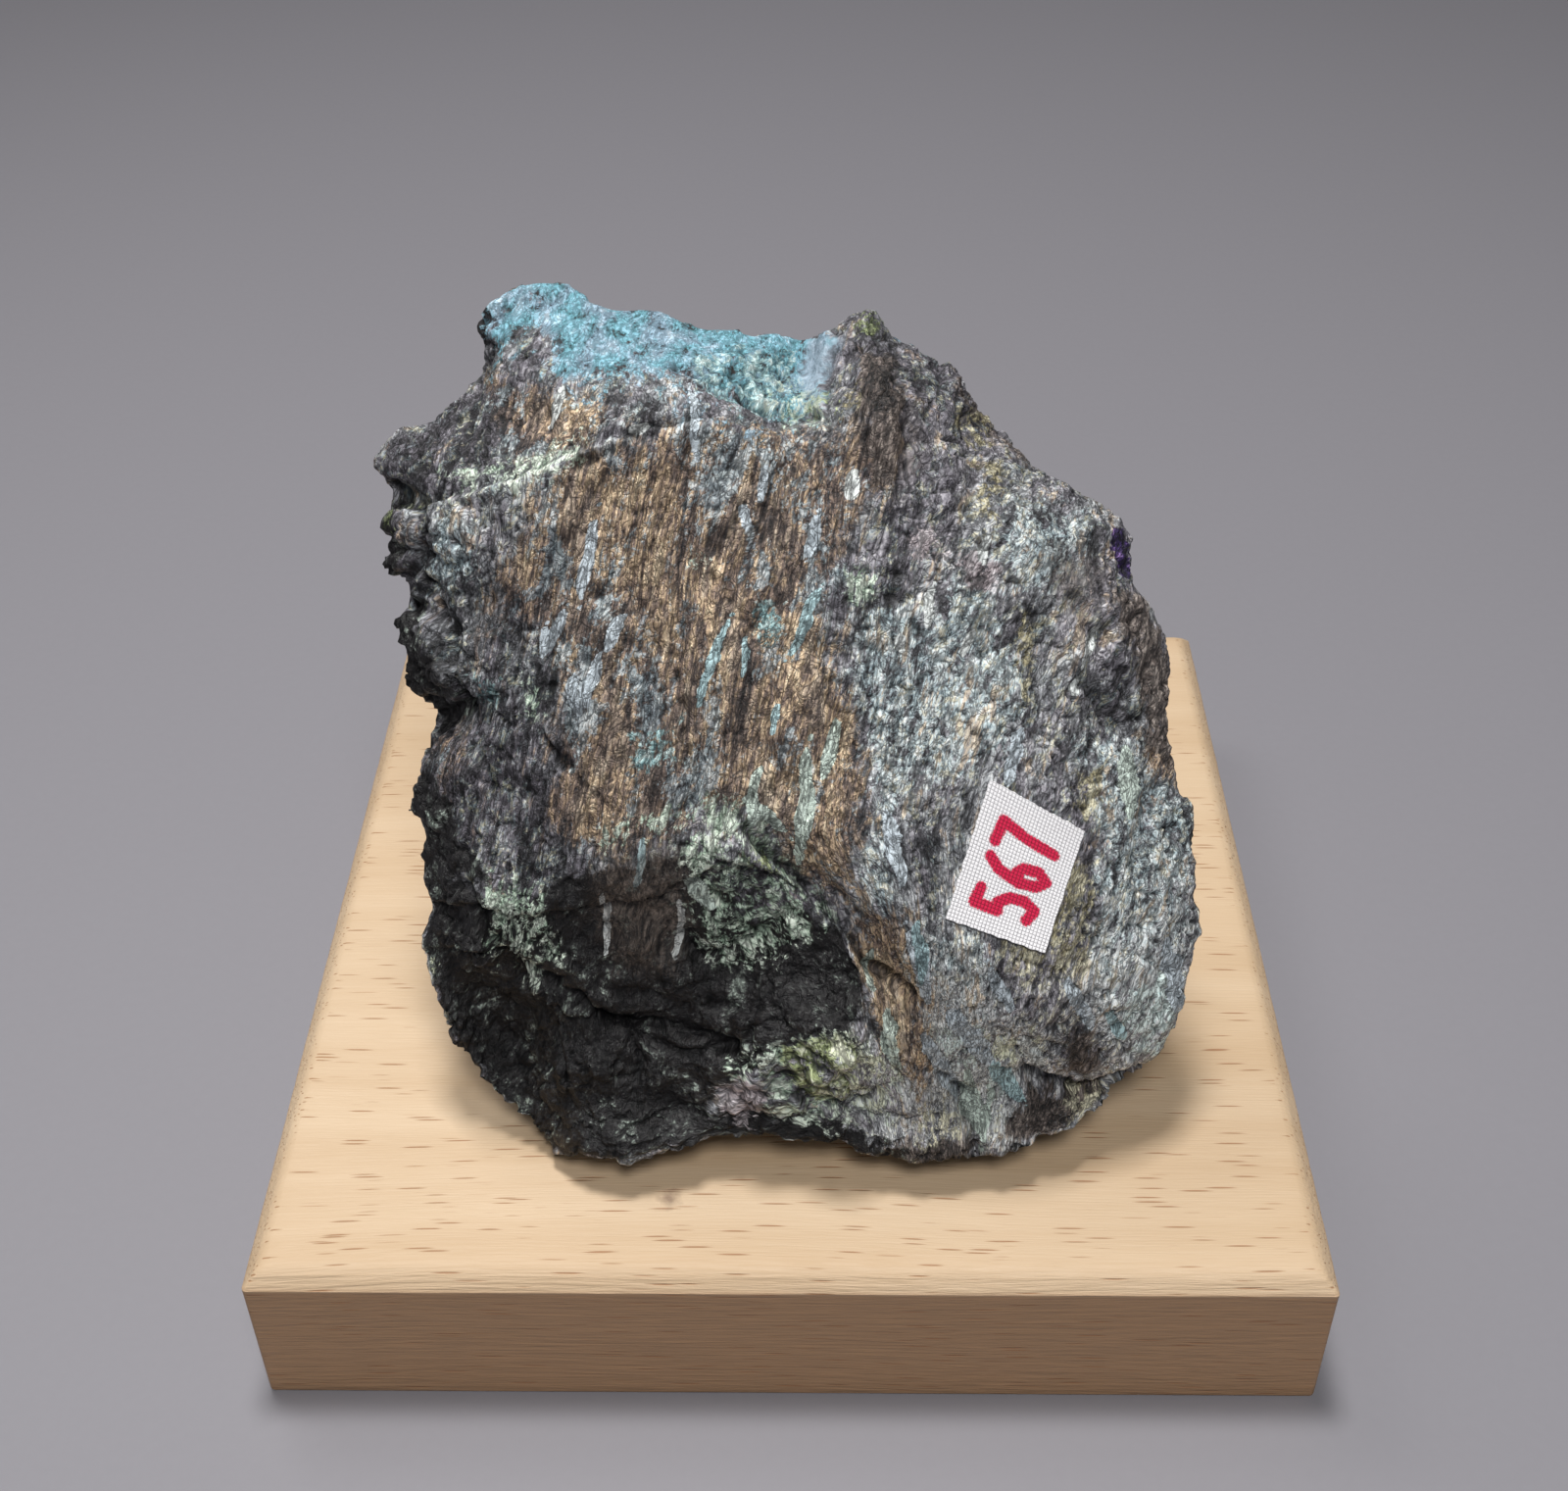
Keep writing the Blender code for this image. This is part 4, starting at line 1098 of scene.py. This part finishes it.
def block():
    """The block with its planed, slightly uneven edges, as rings from its foot to its top."""
    low, high = (np.array(corner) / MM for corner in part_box("display_block"))
    half = (high[0] - low[0]) / 2
    height = high[2] - low[2]
    profile = [(FOOT_RADIUS * (1 - math.sin(a)), FOOT_RADIUS * (1 - math.cos(a)))
               for a in np.radians((0, 30, 60, 90))]
    profile += [(0.0, z) for z in np.linspace(1.2, height - CHAMFER - 0.6, 12)]
    profile += [(0.0, height - CHAMFER - 0.25)]
    profile += [(inset, height - drop) for inset, drop in PLANED_EDGE]

    bm = bmesh.new()
    rings = []
    for inset, z in profile:
        outline = square_ring(half - inset, max(CORNER_RADIUS, 0.5 * inset))
        points = np.column_stack((outline, np.full(len(outline), z)))
        planed = math.exp(-(((z - height + 0.8) / 1.2) ** 2)) if inset < CHAMFER else 0.0
        uneven = 0.10 * ripple(points * (0.16, 1.2, 1.2), 3) + 0.05 * ripple(points * (0.6, 2.4, 2.4), 4)
        waves = SIDE_WAVE * uneven / HALF_SIDE + planed * np.minimum(uneven, EDGE_WAVE) / HALF_SIDE
        outline = outline * (1 + waves)[:, None]
        rings.append([bm.verts.new((x * MM, y * MM, z * MM)) for x, y in outline])
    for lower, upper in zip(rings, rings[1:]):
        for k, vertex in enumerate(lower):
            following = (k + 1) % len(lower)
            bm.faces.new((vertex, lower[following], upper[following], upper[k]))
    bm.faces.new(rings[0][::-1])
    bm.faces.new(rings[-1])
    mesh = new_mesh("pale_wood_block", bm)
    mesh.shade_smooth()
    mesh.set_sharp_from_angle(angle=math.radians(32))
    mesh.materials.append(wood_material(height))
    piece = add_object("pale_wood_block", mesh)
    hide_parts("display_block")
    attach(piece, "root")


def square_ring(half, radius):
    """Points round a square with rounded corners, anticlockwise, close together along its sides."""
    points = []
    middle = half - radius
    for t in np.linspace(-middle, middle, BLOCK_SIDE_POINTS, endpoint=False):
        points.append((half, t))
    for a in np.radians(np.linspace(0, 90, 5, endpoint=False)):
        points.append((middle + radius * math.cos(a), middle + radius * math.sin(a)))
    x, y = np.array(points).T
    return np.concatenate([np.column_stack(side) for side in ((x, y), (-y, x), (-x, -y), (y, -x))])


# Wood colours, as linear reflectances
WOOD_PALE = (0.66, 0.50, 0.335)
WOOD_WARM = (0.56, 0.395, 0.24)
# The sides are darker, partly from their grain and partly as painted shade
WOOD_SIDE_AND_SHADE = (0.35, 0.195, 0.100)
WOOD_PORE = (0.36, 0.16, 0.065)
WOOD_KNOT = (0.22, 0.14, 0.09)


def wood_material(height):
    g = Graph("pale_wood")
    place = g.place()
    drift = g.stretch(g.noise_colour(place, (0.02, 0.05, 0.05), 1), (0.0, 3.0, 3.0))
    grain = g.shift(place, drift)
    bands = g.within(g.noise(grain, (0.010, 0.16, 0.16), 3, 0.5), 0.30, 0.70)
    fibres = g.within(g.noise(grain, (0.18, 5.0, 5.0), 3, 0.6), 0.30, 0.70)
    colour = g.blend(WOOD_PALE, WOOD_WARM, g.weigh((bands, 0.75), (fibres, 0.25)))
    pore_space = g.cells(grain, (0.13, 2.5, 2.5))
    pore_number = g.node("ShaderNodeSeparateColor", {"Color": pore_space["Color"]}).outputs[0]
    pores = g.times(g.within(pore_space["Distance"], 0.24, 0.13), g.within(pore_number, 0.12, 0.3))
    level = g.node("ShaderNodeSeparateXYZ", {"Vector": place}).outputs["Z"]
    # The sides below the chamfer take a darker tone: partly their grain, partly painted shade where the lamps
    # reach them less
    side = g.within(level, height - CHAMFER + 0.3, height - CHAMFER - 0.3)
    side_tone_and_shade = g.blend(tuple(0.9 * c for c in WOOD_SIDE_AND_SHADE), tuple(1.25 * c for c in WOOD_SIDE_AND_SHADE), fibres)
    colour = g.blend(colour, side_tone_and_shade, g.times(side, 0.85))
    colour = g.blend(colour, WOOD_PORE, g.times(pores, 0.80))
    from_knot = g.vector_calc("DISTANCE", place, on_level(KNOT_SEEN_AT, height), "Value")
    ring = g.calc("ADD", from_knot, g.times(g.noise(place, (1.2, 1.2, 1.2), 3), 1.6))
    colour = g.blend(colour, WOOD_KNOT, g.times(g.within(ring, 2.2, 0.9), 0.8))
    g.put(colour, g.shader.inputs["Base Color"])
    g.put(g.calc("MULTIPLY_ADD", fibres, 0.15, 0.50), g.shader.inputs["Roughness"])
    edge = g.within(level, height - 0.1, height - 0.6)
    planed = g.times(edge, g.noise(grain, (0.12, 2.6, 2.6), 4, 0.6))
    normal = g.bump(g.weigh((fibres, 0.4), (pores, -0.9)), 0.05)
    g.put(g.bump(planed, 0.16, normal), g.shader.inputs["Normal"])
    return g.material


# The number on the label: each figure's strokes as x, y, x, y ... in a unit cell that reads left to right
DIGITS = (
    (
        (0.85, 1.0, 0.25, 0.98, 0.18, 0.58),
        (0.18, 0.58, 0.50, 0.64, 0.82, 0.50, 0.86, 0.26, 0.60, 0.04, 0.14, 0.08),
    ),
    (
        (0.78, 1.0, 0.42, 0.78, 0.16, 0.40, 0.24, 0.10, 0.56, 0.0, 0.84, 0.18, 0.78, 0.42, 0.50, 0.50,
         0.22, 0.36),
    ),
    (
        (0.08, 0.95, 0.92, 0.98),
        (0.92, 0.98, 0.60, 0.52, 0.42, 0.0),
    ),
)
NUMBER_TOP, NUMBER_FOOT = 2.0, 7.6
NUMBER_START, NUMBER_PITCH, NUMBER_WIDTH = 1.9, 3.05, 2.3
NUMBER_SLOPE, NUMBER_LEAN = 0.5, 0.35


def ink_distance(cloth):
    """How far each point of the flat tape is from the nearest stroke of the number."""
    nearest = np.full(len(cloth), FAR)
    for k, strokes in enumerate(DIGITS):
        for stroke in strokes:
            x, y = in_pairs(stroke).T
            line = np.column_stack((
                NUMBER_FOOT + (NUMBER_TOP - NUMBER_FOOT) * y + NUMBER_SLOPE * (x - 0.5),
                NUMBER_START + k * NUMBER_PITCH + NUMBER_WIDTH * x - NUMBER_LEAN * (y - 0.5),
            ))
            nearest = np.minimum(nearest, line_distance(cloth, line)[0])
    return nearest


def label():
    """The cut piece of woven tape, with a plain number written on it in red."""
    low_left, low_right, high_right, high_left = (np.array(corner) for corner in LABEL_CORNERS)
    bm = bmesh.new()
    bmesh.ops.create_grid(bm, x_segments=LABEL_CELLS[0], y_segments=LABEL_CELLS[1], size=1)
    mesh = new_mesh("cloth_tape_label", bm)
    points, _ = mesh_arrays(mesh)
    across = ((points[:, 0] + 1) / 2)[:, None]
    along = ((points[:, 1] + 1) / 2)[:, None]
    foot = low_left * (1 - across) + low_right * across
    head = high_left * (1 - across) + high_right * across
    flat = foot * (1 - along) + head * along
    width = np.linalg.norm(low_right - low_left)
    length = np.linalg.norm(high_left - low_left)
    cloth = np.column_stack((across[:, 0] * width, along[:, 0] * length, np.zeros(len(points))))
    nearness = np.minimum(across * (1 - across), along * (1 - along))[:, 0]
    fray = np.exp(-nearness * 60) * ripple(cloth * (1.3, 1.3, 1), 8)
    flat += (flat - np.array(LABEL_CENTRE)) * (FRAY * fray)[:, None]
    a, b = cloth[:, 0] / THREAD_PITCH, cloth[:, 1] / THREAD_PITCH
    over = (np.floor(a) + np.floor(b)) % 2
    weave = np.where(over > 0, np.abs(np.sin(math.pi * a)), np.abs(np.sin(math.pi * b)))
    wave = TAPE_WAVE * ripple(cloth / 5, 9) + TAPE_CURL * (points[:, 1] ** 4) * (0.6 + 0.4 * points[:, 0])
    n = label_plane(flat[:, 0], flat[:, 1]) + LABEL_GAP + wave + THREAD_HEIGHT * weave
    face = np.column_stack((flat, n))
    set_points(mesh, (face @ face_axes() + np.array(FACE_ORIGIN)) * MM)

    add_vector(mesh, "cloth", np.column_stack((cloth[:, :2], ink_distance(cloth[:, :2]))))
    mesh.shade_smooth()
    mesh.materials.append(tape_material())
    piece = add_object("cloth_tape_label", mesh)
    thick = piece.modifiers.new("tape_thickness", "SOLIDIFY")
    thick.thickness = LABEL_THICKNESS * MM
    thick.offset = 1 if mesh.polygons[0].normal.dot(Vector(face_axes()[2])) < 0 else -1
    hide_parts("cloth_label")
    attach(piece, "root")


CLOTH_WHITE = (0.97, 0.955, 0.97)
CLOTH_GAP = (0.60, 0.59, 0.61)
INK_RED = (0.70, 0.010, 0.070)
INK_DEEP = (0.30, 0.004, 0.028)


def tape_material():
    g = Graph("woven_tape")
    cloth = g.attribute("cloth").outputs["Vector"]
    x, y, ink = g.node("ShaderNodeSeparateXYZ", {"Vector": cloth}).outputs
    rate = math.pi / THREAD_PITCH
    warp, weft = (g.calc("ABSOLUTE", g.calc("SINE", g.times(way, rate))) for way in (x, y))
    threads = g.times(g.within(warp, 0.0, 0.55), g.within(weft, 0.0, 0.45))
    fuzz = g.noise(cloth, (6.0, 6.0, 0.0), 3, 0.6)
    white = g.blend(CLOTH_GAP, CLOTH_WHITE, g.within(g.weigh((threads, 0.8), (fuzz, 0.4)), 0.15, 0.8))
    spread = g.weigh((fuzz, 0.42), (threads, -0.10))
    inked = g.within(g.calc("ADD", ink, spread), INK_HALF_WIDTH + 0.20, INK_HALF_WIDTH + 0.06)
    red = g.blend(INK_DEEP, INK_RED, g.within(g.weigh((threads, 0.7), (fuzz, 0.5)), 0.20, 0.80))
    g.put(g.blend(white, red, inked), g.shader.inputs["Base Color"])
    g.shader.inputs["Roughness"].default_value = 0.85
    g.shader.inputs["Sheen Weight"].default_value = 0.05
    g.put(g.bump(g.weigh((threads, 1.0), (fuzz, 0.3)), 0.06), g.shader.inputs["Normal"])
    return g.material


FLOOR_SIZE_M = 6.0
FLOOR_COLOUR = (0.245, 0.238, 0.26)
WORLD_COLOUR = (0.80, 0.82, 0.88)
WORLD_STRENGTH = 0.065
LIGHTS_AIM = (0, 0, 0.035)      # metres
LIGHTS = (
    # name, place in metres, size in metres, watts, colour
    ("main", (-0.03, 0.04, 0.62), 0.12, 2.8, (1.0, 0.99, 0.98)),
    ("top_front", (0.05, -0.34, 0.56), 0.15, 1.80, (1.0, 0.995, 0.99)),
    ("back_left", (-0.20, 0.16, 0.42), 0.20, 0.45, (1.0, 0.985, 0.97)),
    ("front_fill", (-0.16, -0.46, 0.36), 0.30, 0.18, (0.98, 0.985, 1.0)),
)


def floor():
    bm = bmesh.new()
    bmesh.ops.create_grid(bm, x_segments=1, y_segments=1, size=FLOOR_SIZE_M / 2)
    mesh = new_mesh("floor", bm)
    g = Graph("plain_floor")
    mottle = g.noise(g.place(), (0.9, 0.9, 0.9), 4, 0.6)
    g.put(g.blend(tuple(0.97 * c for c in FLOOR_COLOUR), tuple(1.03 * c for c in FLOOR_COLOUR), mottle),
          g.shader.inputs["Base Color"])
    g.shader.inputs["Roughness"].default_value = 0.6
    mesh.materials.append(g.material)
    add_object("floor", mesh)


def lights():
    aim = Vector(LIGHTS_AIM)
    for name, place, size, watts, colour in LIGHTS:
        data = bpy.data.lights.new(name, "AREA")
        data.size = size
        data.energy = watts
        data.color = colour
        lamp = add_object(name, data)
        lamp.location = place
        lamp.rotation_euler = (aim - Vector(place)).to_track_quat("-Z", "Y").to_euler()
    world = bpy.data.worlds.new("studio")
    world.use_nodes = True
    background = world.node_tree.nodes["Background"]
    background.inputs["Color"].default_value = (*WORLD_COLOUR, 1)
    background.inputs["Strength"].default_value = WORLD_STRENGTH
    bpy.context.scene.world = world
    bpy.context.scene.view_settings.view_transform = "Standard"


def camera():
    data = bpy.data.cameras.new("photo_camera")
    data.sensor_width = SENSOR_WIDTH
    data.lens = FOCAL_LENGTH_PX / IMAGE_SIZE[0] * SENSOR_WIDTH
    data.clip_start = 0.005
    made = add_object("photo_camera", data)
    right, up, forward = camera_axes()
    turn = Matrix((right, up, -forward)).transposed().to_4x4()
    made.matrix_world = Matrix.Translation(Vector(CAMERA_PLACE) * MM) @ turn
    bpy.context.scene.camera = made


camera()
stone()
block()
label()
floor()
lights()
